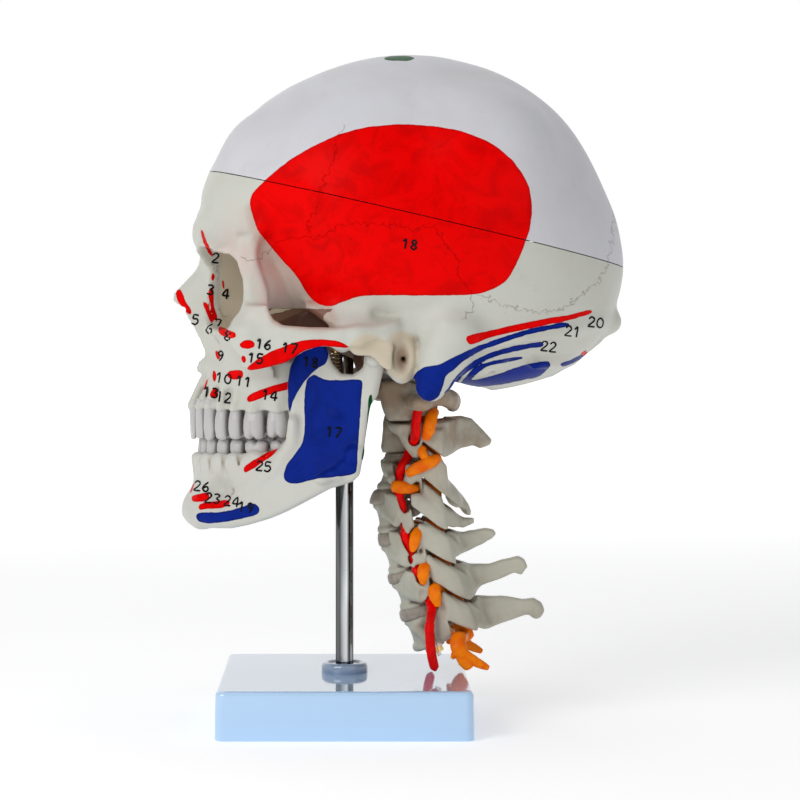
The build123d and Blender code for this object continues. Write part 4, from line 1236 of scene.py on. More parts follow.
def arch_and_spine(number):
    level = LEVELS[number]
    outline = np.array(SILHOUETTES[number])
    tip = in_level(level, *level.tip)[0]

    def distance(x, y, z):
        side = polygon_distance(outline, y[0], z[0])[None]
        y, z = in_level(level, y, z)
        lamina = line_distance([(18.4, 10.8), (18.4, 15.6), (13.5, 19.8), (7, 23.6), (0, 26)],
                               x, y) - 2.4
        q = np.clip((y - 24) / max(tip - 24, 1), 0, 1)
        half = np.interp(q, [0, 0.2, 0.6, 0.85, 1.0], [3.4, 2.4, 2.1, 3.2, 3.9])
        spine = np.maximum(np.abs(x) - half, 23.5 - y)
        return soft_max(side, soft_min(lamina, spine, 2.5), 2.4)

    return Solid((0, *(outline.min(axis=0) - 1)), (22, *(outline.max(axis=0) + 1)), distance)


def pillar(number):
    """The upright block between the facet joints above and below."""
    level = LEVELS[number]
    centre_y, centre_z = level.centre

    def distance(x, y, z):
        own_y, own_z = in_level(level, y, z)
        block = soft_max(np.abs(x - 16.0) - 4.7 + 0.02 * own_z * own_z,
                         np.abs(own_y - 16.4) - 4.6, 3.5)
        return soft_max(block, np.maximum(facet_height(number - 1, y, z) + FACET_GAP,
                                          FACET_GAP - facet_height(number, y, z)), 1.6)

    return Solid((8, centre_y - 2, centre_z - 16), (24, centre_y + 34, centre_z + 18), distance)


def add_transverse(bone, number):
    """A bent plate with the artery's hole through it."""
    hole_y = HOLE_Y[number]

    def at(x, y, z):
        return at_level(number, x, y, z)

    bone.add(tube([at(8.2, -4.4, 3.0), at(12.6, -2.6, 0.4), at(16.6, hole_y - 3.4, -2.0)],
                  [2.9, 2.5, 2.4]), 2.0)
    bone.add(tube([at(13.5, 11.5, 1.2), at(17.0, 9.6, -0.6), at(18.6, hole_y + 3.6, -3.0)],
                  [3.0, 2.5, 2.2]), 2.0)
    bone.add(plate(TRANSVERSE[number],
                   lambda y, z: np.interp(in_level(LEVELS[number], y, z)[0],
                                          [-7, -3, 1.5, 9], [8.0, 13.0, 17.6, 18.2]),
                   3.0, 2.2), 1.8)
    if number < 7:
        bone.cut(rod(at(HOLE_X, hole_y, -10), at(HOLE_X, hole_y, 10), 2.55), 0.8)
        bone.cut(plate(TROUGHS[number], 19.2, 5.6, 1.2), 1.0)
        bone.cut(ball(at(21.4, hole_y - 2.6, -1.6), (2.4, 2.2, 3.4)), 1.2)
    else:
        bone.cut(ball((22.6, 42.2, 50.2), (3.4, 2.4, 4.6)), 1.5)


def clear_neighbours(bone, number):
    """Keeps the facet joints open, and the way of the spine above."""
    x, y, z = bone.grid()
    own_y, _ = in_level(LEVELS[number], y, z)
    above = -(facet_height(number - 1, y, z) + FACET_GAP)
    bone.carve(np.maximum(np.maximum(9.2 - x, np.abs(own_y - 18.5) - 8.5), above), 0.8)
    below = facet_height(number, y, z) - FACET_GAP
    front = 6.6 if number == 4 else 9.6
    reach = np.maximum(front - own_y, own_y - 27.9)
    bone.carve(np.maximum(np.maximum(9.2 - x, reach), below), 0.8)
    room = 1.0 if number == 4 else 1.6
    spine = (polygon_distance(SILHOUETTES[number - 1], y[0], z[0]) - room)[None]
    bone.carve(np.maximum(np.maximum(spine, x - 9.0), 20.5 - own_y), 0.8)


def build_vertebra(number):
    level = LEVELS[number]
    (centre_y, centre_z), (tip_y, tip_z) = level.centre, level.tip
    bone = Field((0, centre_y - 12, min(centre_z - 17, tip_z - 7)),
                 (28, tip_y + 5, centre_z + 19), 0.6)
    bone.add(vertebra_body(number))
    add_rim_bumps(bone, number)
    # pedicle
    bone.add(tube([at_level(number, 6.4, 5.6, 1.2), at_level(number, 10.5, 9.6, 1.2),
                   at_level(number, 14, 13.5, 1.0)], [3.2, 3.0, 3.6]), 2.0)
    bone.add(arch_and_spine(number), 1.6)
    bone.add(pillar(number), 1.5)
    add_transverse(bone, number)
    # canal of the cord
    bone.cut(rod(at_level(number, 0, 15.3, -14), at_level(number, 0, 15.3, 14), 7.0,
                 scale=(1.42, 1, 1)), 1.0)
    clear_neighbours(bone, number)
    if number < 7:                     # forked end of the spine
        bone.cut(rod((0, tip_y - 6, tip_z - 2.2), (0, tip_y + 3, tip_z - 2.6), 0.5, 1.5), 1.4)
    bone.ripple(0.30, wave=17.0 + number, seed=number * 1.7)
    if number == 7:
        bone.add(ball((0, tip_y - 1.2, tip_z - 1.4), (4.2, 3.2, 3.6)), 2.2)
    return bone


def axis_arch():
    def distance(x, y, z):
        side = polygon_distance(SILHOUETTES[2], y[0], z[0])[None]
        lamina = line_distance([(17, 36), (14, 41), (7, 45.8), (0, 48.4)], x, y) - 3.0
        half = np.interp(y, [47, 52, 58, 62, 66], [4.6, 3.4, 3.6, 5.2, 5.0])
        spine = np.maximum(np.abs(x) - half, 46.0 - y)
        return soft_max(side, soft_min(lamina, spine, 3), 2.8)

    return Solid((0, 33, 116), (22, 67, 136), distance)


def axis_pillar():
    def distance(x, y, z):
        block = soft_max(np.abs(x - 15.8) - 4.6, np.abs(y - 38.6) - 5.0, 3.5)
        return soft_max(block, np.maximum(z - 130, FACET_GAP - facet_height(2, y, z)), 1.6)

    return Solid((9, 32, 112), (22, 46, 131), distance)


# course of the artery through the axis: the first half runs down from the atlas
AXIS_ARTERY = [(24.6, 31.1, 132), (23.4, 31, 128.2), (20.6, 30.4, 125.2), (16.4, 29.3, 122.4)]


def build_axis():
    bone = Field((0, 14, 112), (28, 69, 150), 0.6)
    bone.add(plate([(17.2, 129.5), (18.6, 134), (22, 137.5), (29, 137.5), (30.5, 131),
                    (30.5, 122), (29, 118.8), (17, 118.6), (16.2, 121)], 0,
                   lambda y, z: np.interp(z, [118, 121, 127, 133, 138],
                                          [9.4, 8.6, 8.2, 9.5, 8]), 3.0))
    # peg, upper joint face, transverse process, pedicle
    bone.add(tube([(0, 22.6, 132), (0, 22.8, 139), (0, 22.6, 143.2)], [5.0, 3.9, 4.0]), 2.5)
    bone.add(ball((14.6, 27, 131.8), (8, 8.2, 5)), 1.8)
    bone.add(plate(AXIS_TRANSVERSE, 15.6, 5.9, 2.8), 2)
    bone.add(tube([(7, 27, 125), (13, 31, 125.5), (14.5, 38, 124)], [4.2, 3.8, 4.0]), 2.5)
    bone.add(axis_arch(), 2)
    bone.add(axis_pillar(), 2)
    # way of the artery, canal of the cord
    bone.cut(tube([(25, 31.2, 136), *AXIS_ARTERY, (14.6, 28.4, 119.6), (16.2, 27.2, 115.5)],
                  [2.8, 2.7, 2.6, 2.6, 2.5, 2.5, 2.6]), 0.6)
    bone.cut(rod((0, 37.6, 108), (0, 37.6, 152), 7.3, scale=(1.45, 1, 1)), 1.0)
    x, y, z = bone.grid()
    below = facet_height(2, y, z) - FACET_GAP
    bone.carve(np.maximum(np.maximum(9.2 - x, np.abs(y - 44.3) - 10.2), below), 0.8)
    # flat upper joint faces just under the atlas
    bone.carve(np.maximum(6.2 - x, 133.4 - 0.10 * (x - 8) - z), 0.8)
    bone.cut(rod((0, 60, 118.5), (0, 70, 119.5), 0.8, 2.2), 1.6)
    bone.ripple(0.32, wave=18.0, seed=4.4)
    return bone


def build_atlas():
    bone = Field((0, 9, 131), (40, 56, 153), 0.6)
    # front arch and its knob
    bone.add(tube([(0, 15.6, 145.4), (7, 16.8, 145.4), (13, 21.5, 144.4)], [2.6, 2.3, 3.0],
                  (1, 1, 1.5)), 2)
    bone.add(ball((0, 13.9, 145.6), (3.4, 2, 3.8)), 1.6)
    # side mass
    bone.add(ball((16, 29.5, 142.4), (7.4, 9.8, 8)), 2)
    bone.add(plate([(15.7, 150.4), (20.3, 151), (29.1, 150.6), (35.3, 146.6), (39, 144.6),
                    (38.4, 139), (35.4, 137.8), (29.8, 135.6), (28.7, 133), (19.3, 133.2),
                    (17.3, 136.9), (15.9, 142.3), (14.6, 147)], 17.0, 5.6, 3.0), 2.5)
    # rear arch and its knob
    bone.add(tube([(17.5, 37.5, 144), (14.5, 43.4, 143.6), (8, 46.9, 142.2), (0, 47.9, 141.4)],
                  [3.2, 3.2, 3.3, 3.7], (1, 1, 1.25)), 2)
    bone.add(ball((0, 48.8, 140.8), (3.4, 2.4, 3.2)), 2)
    # transverse process and its hole
    bone.add(tube([(19, 30.5, 142.4), (27, 32.2, 142), (33.8, 33.2, 141.6)], [5.2, 4.8, 3.8],
                  (1, 1.15, 0.82)), 2)
    bone.add(ball((34.6, 33.6, 141.4), (3, 3.6, 2.4)), 1.5)
    bone.cut(rod((26, 32.4, 128), (26, 32.4, 156), 2.95), 0.8)
    bone.cut(ball((15.2, 29.5, 154.6), (6.4, 9.6, 6.2)), 1.2)    # cup for the skull's condyle
    # groove of the artery
    bone.cut(tube([(24, 36, 148), (17, 40.5, 148.2), (10, 43, 149)], [2.0, 1.9, 1.8]), 1.2)
    # room for the peg and for the cord
    bone.cut(rod((0, 22.6, 128), (0, 22.6, 156), 4.85), 0.6)
    bone.cut(rod((0, 36.6, 128), (0, 36.6, 158), 8.4, scale=(1.2, 1, 1)), 1.5)
    x, y, z = bone.grid()
    under = np.maximum(np.maximum(6 - x, x - 24.0), z - (134.4 - 0.10 * (x - 8)))
    bone.carve(under, 0.8)
    bone.ripple(0.32, wave=18.0, seed=2.1)
    bone.cut(ball((15.2, 24.6, 151.6), (5, 5.5, 2.7)), 1.0)
    return bone


# ------------------------------------------------------------------ painted outlines
# Each row: colour, least x in mm, outline (y, z) as it falls on the middle plane when
# seen from the camera. They show on the left side only.
TEMPORAL = ("red", 30, points("""
    -42.1,228.6 -41.2,233.5 -37.6,237.5 -32.3,242.4 -24.3,248.7 -15.4,254 -5.6,258.9
    1.1,261.1 7.7,262.9 18,264.2 27.8,264.7 39.3,263.8 50.5,262 58,259.4 65.1,256.2
    70.9,252.2 75.8,247.3 79.8,241.5 82.5,235.3 83.4,227.3 82.5,218.4 80.3,211.3
    77.2,203.7 73.2,196.6 69.2,193 63.8,190.4 55.8,188.6 42.5,188.4 24.7,188.4 7.7,188.1
    0.6,185.9 -5.6,183.7 -10.1,184.1 -13.6,185.9 -17.2,189.9 -20.3,195.3 -23.4,199.3
    -27,203.3 -31,207.7 -35,212.6 -38.1,216.6 -39.9,220.6"""))
SKULL_PAINT = [
    TEMPORAL,
    # origin on the arch
    ("red", 45, points("""
        -43.2,156.1 -39.9,159.2 -35,162.3 -27.9,165.5 -20.7,167.9 -15.4,168.8 -8.7,168.8
        -3.4,168.1 0.2,166.8 2,165.2 -2,165.2 -8.7,165.7 -11.8,165.5 -17.6,163.7
        -22.1,161 -26.5,158.3 -31,157 -36.8,155.7 -40.3,152.8 -42.5,153.4""")),
    # buccinator, upper end
    ("red", 20, points("""
        -43.2,143.2 -39.9,145.4 -33.2,147.7 -24.5,150.1 -24.5,146.8 -31,145 -36.8,142.8
        -42.5,140.8""")),
    # nasal tip
    ("red", -5, points("""
        -75,190.4 -73.2,191 -71.9,189 -70.6,185.5 -68.4,182.4 -68.4,180.1 -70.1,180.6
        -72.8,183.3 -74.6,186.8""")),
    # brow, two patches by the glabella and nose
    ("red", 0, points("""
        -64.1,217.1 -63,217.1 -61.2,212.2 -58.6,206.8 -59.2,205.5 -61.2,208.2 -63,212.2""")),
    ("red", 0, points("-58.8,204.2 -58.1,204.2 -57.9,200.2 -58.6,199.7")),
    ("red", 0, points("-59,198.2 -58.1,198.4 -57.7,196.2 -58.6,194.8 -59.5,195.3")),
    # frontal process
    ("red", 0, points("""
        -60.3,191.3 -58.6,191.3 -58.3,188.1 -57.9,183.7 -56.6,178.4 -57,176.6 -58.6,178.8
        -59.7,183.7 -60.6,188.1""")),
    # levator
    ("red", 0, points("""
        -63,185 -61.7,185.3 -60.1,182.8 -58.6,178.4 -59,175.7 -60.6,178.4 -62.1,181.9""")),
    # inside and below the socket
    ("red", -5, points("-54.8,195.5 -54.1,195.5 -52.8,190.8 -53.4,189.9 -54.3,192.2")),
    ("red", 10, points("""
        -56.3,173.9 -54.6,174.4 -51.4,173 -48.8,171.9 -48.5,169.9 -50.6,169.2 -53.2,169.9
        -55.4,171.2""")),
    # zygomatic, major and minor
    ("red", 30, points("""
        -46.5,167 -44.8,168.3 -42.1,168.6 -40.3,167.5 -40.1,165.7 -42.1,164.6 -44.8,164.8
        -46.3,165.7""")),
    ("red", 20, points("""
        -45.9,161.2 -44.8,161.7 -43.9,160.1 -44.1,158.6 -45.2,158.6 -45.9,159.7""")),
    # caninus
    ("red", 10, points("""
        -57.7,163.5 -56.6,163.9 -55.4,162.3 -55.7,160.3 -56.6,159.9 -57.4,161.4""")),
    # levator of the mouth's corner
    ("red", 15, points("""
        -52.3,153.7 -50.6,155 -46.5,155.2 -45.2,154.1 -45.4,152.1 -47.4,151 -50.6,151.2
        -52.1,152.1""")),
    # nasalis, depressor septi, incisive
    ("red", 0, points("-58.8,154.8 -57.4,154.6 -57,152.5 -57.4,150.3 -58.3,150.1 -58.8,152.1")),
    ("red", -5, points("-61.5,150.8 -60.3,151.7 -61.2,148.5 -62.8,145.7 -63.2,146.3")),
    ("red", 5, points("""
        -59.5,145.9 -57.9,147.2 -56.6,145.9 -56.3,143.6 -57.7,142.5 -59.5,142.8
        -60.1,144.1""")),
    # occipital strip and the small patch below it
    ("red", 0, points("""
        54,169.5 55.8,170.8 62.5,172.4 71.4,174.4 80.7,176.4 89.2,178.1 99,179.7 104.8,181
        109.6,182.1 109.9,180.4 104.8,178.8 99,177 89.2,175 82.1,173.5 73.6,171.7
        64.7,169.5 58,167 55.4,166.8""")),
    ("red", 0, points("105.2,162.8 107.4,164.1 108.1,162.8 106.1,160.6 104.8,161")),
    # mastoid and the strip behind it
    ("blue", 25, points("""
        42.5,157.9 38,157 34.9,156.3 31.3,153.4 29.8,149 30.2,145.9 31.8,143 35.8,140.8
        38.9,141.6 41.6,143.2 43.8,147.7 45.1,152.5 49.1,155.7 52.7,158.8 56.7,161.4
        60.3,163.5 71.4,167.7 82.1,171 91.4,173 99.9,174.6 99.9,176.1 96.7,176.4 89.2,175
        82.1,173.5 73.2,170.8 62.9,167.2 56.2,164.6 51.4,162.3 46.9,160.1""")),
    # second and third strip
    ("blue", 5, points("""
        44.5,145 46.5,148.1 49.1,151.7 51.8,154.6 56.7,158.8 62.9,162.1 69.2,164.3
        74.9,165.9 82.5,167.2 87.8,167.5 88.1,165.7 82.5,164.8 74.9,163.2 69.2,161.9
        62.9,159.4 57.6,156.3 53.1,153 50,149.4 46.9,145.9 45.1,144.1""")),
    ("blue", 0, points("""
        49.1,145.9 51.4,149 54.9,153.4 58.5,156.8 62.9,158.6 69.2,159.9 78.1,161.2
        78.5,159.9 70.5,158.3 63.8,156.6 59.4,153.9 54.9,149.4 51.4,145.7 49.6,145""")),
    # lower patch and the small one behind it
    ("blue", 0, points("""
        53.6,149.9 59.4,151.2 67.4,153.2 74.5,155.7 82.1,158.1 89.6,159.2 91.4,158.3
        91,156.3 87,152.5 80.3,150.8 71.4,149 61.6,147.7 55.8,147.9""")),
    ("blue", 0, points("96.3,158.1 100.3,159.7 105.6,162.1 105.9,160.6 101.2,158.1 97.2,156.6")),
]
JAW_PAINT = [
    # masseter
    ("blue", 35, points("""
        -17.2,149 -16.3,151.4 -13.6,153 -10.9,152.1 -8.3,151 -2,150.8 5.5,151 7.7,149.9
        7.7,146.3 6.9,133 6,119.6 5.3,110.7 3.3,108.7 -2.5,107.8 -12.3,106.7 -19.8,104.9
        -24.3,104.7 -26.5,106.3 -27,108.9 -25.6,113.4 -22.5,117.4 -19.8,121 -18.3,125.4
        -17.8,133 -18.1,141""")),
    # coronoid
    ("blue", 30, points("""
        -24.7,159.2 -22.5,161.9 -17.6,163.7 -11.8,165.9 -7.4,165.5 -7.8,158.8 -12.7,155.4
        -16.7,151.4 -20.3,146.3 -23,141 -24.3,136.5 -25.2,140.1 -25.2,150.8""")),
    # buccinator, mentalis, depressor, platysma, incisive
    ("red", 20, points("""
        -29.4,121.4 -31.4,117.8 -36.8,113.8 -41.2,110.9 -43.9,109.6 -45,110.5 -44.3,112.5
        -40.3,115.2 -35,118.3 -31,121""")),
    ("red", 0, points("""
        -67.9,99.1 -65.2,100 -60.8,100.7 -60.6,97.4 -63.5,96.7 -67,96.5 -68.1,97.4""")),
    ("red", 0, points("""
        -64.8,94.9 -63,96 -57.7,96.9 -51.9,97.4 -51.4,95.4 -54.6,93.8 -60.8,93.4
        -64.3,93.1""")),
    ("blue", 0, points("""
        -66.1,90.7 -63.5,91.8 -55.4,92 -46.5,94 -41.2,95.8 -39,95.1 -37.9,93.4 -39,91.1
        -44.3,89.4 -53.2,87.6 -60.8,86.9 -65.2,88""")),
    ("red", -5, points("-67.2,104.9 -66.6,104.9 -67.5,101.8 -68.6,100 -68.8,101.4")),
    # pterygoid
    ("green", -60, points("""
        10.9,143.6 12.4,143.2 12.2,135.2 11.1,124.1 8.6,116.1 7.5,116.5 9.1,124.1
        10,133.9""")),
]
CAP_PAINT = [
    TEMPORAL,
    # patch on the vertex
    ("green", -20, points("17.1,293.8 20.2,294.9 28.2,294.9 31.3,293.8 28.2,292.9 20.2,292.9")),
]

# sutures as lines (y, z) on the middle plane, seen from the camera
CORONAL = points("""
    -0.6,264.5 -1.3,260.7 -3.7,255.9 -5.5,247.6 -9.7,238 -10.9,229.7 -15,222.5
    -16.2,215.4""")
SQUAMOUS = points("""
    -16.2,215.4 -12.1,213.6 -4.9,218.4 8.2,220.7 20.1,219.5 30.8,217.7 40.4,218.9
    43.2,213.4 48.7,207 51.7,197.5 56.5,189.7 55.9,182 52.3,177.2""")
LAMBDOID = points("""
    118.6,231 119.7,218.9 115.5,198.7 107.2,190.3 97.6,183.2 86,181 71,184.2
    56.5,189.7""")
FRONTAL = points("-47,205.5 -41,204.2 -34,208 -27,213.2 -20,214.6 -16.2,215.4")
ORBIT_SEAM = points("-58,203.6 -55.6,197 -54.6,188 -55.4,181.5 -50,178.4")


# ------------------------------------------------------------------ surface attributes
def shade_from_field(obj, field):
    """Stores how enclosed each point is, for the painted shade in the hollows."""
    verts, normals = verts_mm(obj), vert_normals(obj)
    reaches = (1.5, 4.0)
    enclosed = sum(np.clip(1 - field.sample(verts + normals * r) / r, 0, 1) for r in reaches)
    set_attribute(obj, "cavity", enclosed / len(reaches))


def paint_attributes(obj, rows):
    """Signed distance in mm to the painted outlines, one attribute per colour."""
    verts, normals = verts_mm(obj), vert_normals(obj)
    u, v = seen_from_left(verts)
    nearest = {colour: np.full(len(verts), 6.0) for colour in ("red", "blue", "green")}
    for colour, least_x, outline in rows:
        loop = smooth_loop(outline, 4) if len(outline) > 5 else np.array(outline)
        low, high = loop.min(0) - 6, loop.max(0) + 6
        near = np.where((u > low[0]) & (u < high[0]) & (v > low[1]) & (v < high[1]))[0]
        distance = polygon_distance(loop, u[near], v[near])
        distance = np.maximum(distance, (least_x - verts[near, 0]) * 0.8)
        # only where the surface faces left
        distance = np.maximum(distance, (0.02 - normals[near, 0]) * 12)
        nearest[colour][near] = np.minimum(nearest[colour][near], distance)
    for colour, values in nearest.items():
        set_attribute(obj, colour, values)


def seam_attributes(obj, lines):
    """For each line k: signed distance s<k>, and weight w<k> that fades at the ends."""
    places = verts_mm(obj)
    places[:, 0] = np.abs(places[:, 0])
    u, v = seen_from_left(places)
    for k, stations in enumerate(lines, 1):
        line = smooth_line(stations, 4)
        best = np.full(len(places), 1e9)
        signed = np.full(len(places), 6.0)
        weight = np.zeros(len(places))
        last = len(line) - 1
        for i in range(last):
            run = line[i + 1] - line[i]
            off_u, off_v = u - line[i][0], v - line[i][1]
            t = np.clip((off_u * run[0] + off_v * run[1]) / (run @ run + 1e-12), 0, 1)
            off_u, off_v = off_u - run[0] * t, off_v - run[1] * t
            distance = np.hypot(off_u, off_v)
            side = np.sign(run[0] * off_v - run[1] * off_u)
            closer = distance < best
            best = np.where(closer, distance, best)
            signed = np.where(closer, side * distance, signed)
            share = (i + t) / last
            weight = np.where(closer, np.minimum(share, 1 - share), weight)
        least_x = 9 if stations is ORBIT_SEAM else 6
        set_attribute(obj, f"s{k}", np.clip(signed, -6, 6))
        set_attribute(obj, f"w{k}", np.clip(weight * 40, 0, 1) * (places[:, 0] > least_x))


# side outlines (y, z), seen from the camera, of the painted shade behind the cheek and of the beige tint
# round the jaw joint
CHEEK_SHADE = [(-44, 228), (-42, 216), (-39.6, 207), (-35, 196), (-32, 188), (-32.5, 175),
               (-6, 172), (-3, 180), (-8, 190), (-14, 200), (-22, 210), (-30, 219), (-38, 230)]
JOINT_BEIGE = [(1, 163.5), (3, 167.5), (8, 170.5), (13, 171), (19, 168.5), (21, 171.5),
               (26, 172.5), (31, 170), (32.5, 164), (32, 154), (28, 149.5), (22, 152),
               (18, 154.6), (15, 156.8), (13, 159.4), (11, 160.6), (4.5, 160.8), (1, 162.5)]


def shade_and_tint_attributes(obj):
    """Painted shade behind the cheek, in the ear, in the opening behind the arch, under the skull's floor
    and round the post; a beige tint in the socket and round the jaw joint.
    """
    places = verts_mm(obj)
    places[:, 0] = np.abs(places[:, 0])
    x, y, z = places.T
    u, v = seen_from_left(places)

    def patch(outline, least_x):
        return np.maximum(polygon_distance(smooth_loop(outline, 4), u, v), (least_x - x) * 0.8)

    socket = np.maximum(eye_socket().distance(x, y, z) - 0.9, (-55.0 - y) * 0.7)
    beige = np.minimum(socket, patch(JOINT_BEIGE, 30))
    # painted shade, pinkish brown, behind the cheek
    set_attribute(obj, "tan_a", np.clip(patch(CHEEK_SHADE, 20), -6, 6))
    set_attribute(obj, "tan_b", np.clip(beige, -6, 6))
    # painted shade in the ear canal
    ear = np.sqrt(((u - 25.4) / 3.4) ** 2 + ((v - 160.4) / 6.6) ** 2) - 1
    brown = np.where(x > 42, np.maximum(ear * 3.0, -1.5), 6.0)
    # painted shade: the opening behind the arch is deep and dark brown, darker at its rear end
    deep = (x > 10) & (x < 56) & (y > -33.5) & (y < -5.5) & (z > 163) & (z < 182.6)
    brown = np.where(deep, np.minimum(brown, -3.3 - 2.0 * ease(-20, -14, y)), brown)
    # painted shade on the skull's floor beside the post
    under = np.maximum.reduce([x - 37.5, -13.0 - y, y - 18, 148 - z, z - 170])
    set_attribute(obj, "tan_c", np.clip(np.minimum(brown, under), -6, 6))
    cavity = np.zeros(len(places), F32)
    obj.data.attributes["cavity"].data.foreach_get("value", cavity)
    # painted shade round the hole for the post
    around_post = (np.hypot(x, y) < 14) & (z < 187)
    set_attribute(obj, "cavity", np.maximum(cavity, np.where(around_post, 0.7, 0)))


SAW_NORMAL = Vector((0, 0.2253, 0.9743))             # the cut slopes down to the back
SAW_POINT = Vector((0, 30.0, 222.2))


def saw(obj, offset, keep_above):
    """Cuts the shell clean along the saw plane and closes the rim."""
    mesh = bmesh.new()
    mesh.from_mesh(obj.data)
    centre = (SAW_POINT + SAW_NORMAL * offset) * MM
    bmesh.ops.bisect_plane(mesh, geom=mesh.verts[:] + mesh.edges[:] + mesh.faces[:],
                           dist=1e-6, plane_co=centre, plane_no=SAW_NORMAL,
                           clear_outer=not keep_above, clear_inner=keep_above)
    rim = [edge for edge in mesh.edges if edge.is_boundary and
           all(abs((v.co - centre).dot(SAW_NORMAL)) < 2e-6 for v in edge.verts)]
    outward = -SAW_NORMAL if keep_above else SAW_NORMAL
    filled = bmesh.ops.triangle_fill(mesh, edges=rim, use_beauty=True, use_dissolve=False,
                                     normal=outward)
    for face in filled["geom"]:
        if isinstance(face, bmesh.types.BMFace):
            face.smooth = False
            if face.normal.dot(outward) < 0:
                face.normal_flip()
    for edge in rim:
        if edge.is_valid:
            edge.smooth = False
    mesh.to_mesh(obj.data)
    mesh.free()
    obj.data.update()


def bone_object(name, field, body, replaced, material, saw_cut=None):
    """Meshes a field; saw_cut is (offset, keep_above)."""
    obj = make_object(name, *field.mesh(), material)
    register(obj, body, (replaced,))
    if saw_cut:
        saw(obj, *saw_cut)
    shade_from_field(obj, field)
    return obj


# ------------------------------------------------------------------ materials
class Look:
    """A small helper for building node materials."""

    def __init__(self, name):
        self.material = bpy.data.materials.new(name)
        self.material.use_nodes = True
        self.tree = self.material.node_tree
        self.surface = self.tree.nodes["Principled BSDF"]
        self.place = self.tree.nodes.new("ShaderNodeTexCoord").outputs["Object"]

    def feed(self, socket, value):
        """Links a socket, or sets a number or colour."""
        if isinstance(value, bpy.types.NodeSocket):
            self.tree.links.new(value, socket)
        else:
            socket.default_value = (*value, 1.0) if isinstance(value, tuple) else value

    def node(self, kind, **inputs):
        node = self.tree.nodes.new(kind)
        for key, value in inputs.items():
            self.feed(node.inputs[key.replace("_", " ")], value)
        return node

    def noise(self, scale, detail=4, rough=0.55, distort=0.0):
        return self.node("ShaderNodeTexNoise", Scale=scale, Detail=detail, Roughness=rough,
                         Distortion=distort, Vector=self.place).outputs["Fac"]

    def cells(self, scale):
        return self.node("ShaderNodeTexVoronoi", Scale=scale,
                         Vector=self.place).outputs["Distance"]

    def attribute(self, name):
        node = self.node("ShaderNodeAttribute")
        node.attribute_name = name
        return node.outputs["Fac"]

    def place_axes(self):
        return self.node("ShaderNodeSeparateXYZ", Vector=self.place).outputs

    def place_length(self, operation, other=None):
        """Length of the place vector, or its distance to another."""
        node = self.node("ShaderNodeVectorMath")
        node.operation = operation
        self.feed(node.inputs[0], self.place)
        if other is not None:
            node.inputs[1].default_value = other
        return node.outputs["Value"]

    def math(self, operation, a, b=0.0, clamp=False):
        node = self.node("ShaderNodeMath")
        node.operation, node.use_clamp = operation, clamp
        self.feed(node.inputs[0], a)
        self.feed(node.inputs[1], b)
        return node.outputs[0]

    def times(self, a, b, clamp=False):
        return self.math("MULTIPLY", a, b, clamp)

    def plus(self, a, b):
        return self.math("ADD", a, b)

    def minus(self, a, b):
        return self.math("SUBTRACT", a, b)

    def step(self, value, low, high, start=0.0, end=1.0):
        """Smooth step from start at low to end at high."""
        node = self.node("ShaderNodeMapRange", Value=value, From_Min=low, From_Max=high,
                         To_Min=start, To_Max=end)
        node.interpolation_type = "SMOOTHSTEP"
        return node.outputs["Result"]

    def mix(self, amount, a, b, mode="MIX"):
        node = self.node("ShaderNodeMix")
        node.data_type, node.blend_type = "RGBA", mode
        for index, value in ((0, amount), (6, a), (7, b)):
            self.feed(node.inputs[index], value)
        return node.outputs[2]

    def bump(self, height, strength, distance, **normal):
        return self.node("ShaderNodeBump", Height=height, Strength=strength,
                         Distance=distance, **normal).outputs["Normal"]

    def finish(self, **inputs):
        for key, value in inputs.items():
            self.feed(self.surface.inputs[key.replace("_", " ")], value)
        return self.material


def scaled(colour, factor):
    """A colour times a number or three numbers."""
    return tuple(np.multiply(colour, factor).tolist())


def cranium_shade_and_tints(look, colour):
    # pink cheek
    radius = 0.034
    near = look.place_length("DISTANCE", (0.047, -0.034, 0.203))
    near = look.step(near, radius * 0.35, radius, start=1.0, end=0.0)
    near = look.times(near, look.step(look.noise(60), 0.30, 0.62))
    colour = look.mix(look.times(near, 0.55), colour, (0.62, 0.44, 0.40))
    ragged = look.times(look.minus(look.noise(95), 0.5), 3.0)
    # attribute, tint, full inside and gone outside this distance, amount
    # tan_a and tan_c are painted shade, tan_b a beige tint
    for name, tint, inside, outside, amount in (
            ("tan_a", (0.455, 0.330, 0.270), -3.0, 1.6, 0.70),
            ("tan_b", (0.560, 0.475, 0.340), -1.2, 1.0, 0.82),
            ("tan_c", (0.150, 0.052, 0.028), -3.2, 1.2, 0.93)):
        wander = ragged if name == "tan_a" else look.times(ragged, 0.3)
        on = look.step(look.plus(look.attribute(name), wander), inside, outside,
                       start=1.0, end=0.0)
        colour = look.mix(look.times(on, amount), colour, tint)
    return colour


def neck_shade_and_tints(look, colour):
    # painted shade: browner and darker towards the top, under the skull; blotches all over
    up = look.step(look.place_axes()["Z"], 0.100, 0.142)
    up = look.times(up, look.step(look.noise(70, detail=5, rough=0.6), 0.36, 0.60, start=0.15))
    colour = look.mix(look.times(up, 0.78), colour, (0.275, 0.165, 0.095))
    blotch = look.times(look.step(look.noise(38, rough=0.62), 0.47, 0.66), 0.34)
    return look.mix(blotch, colour, (0.285, 0.230, 0.165))


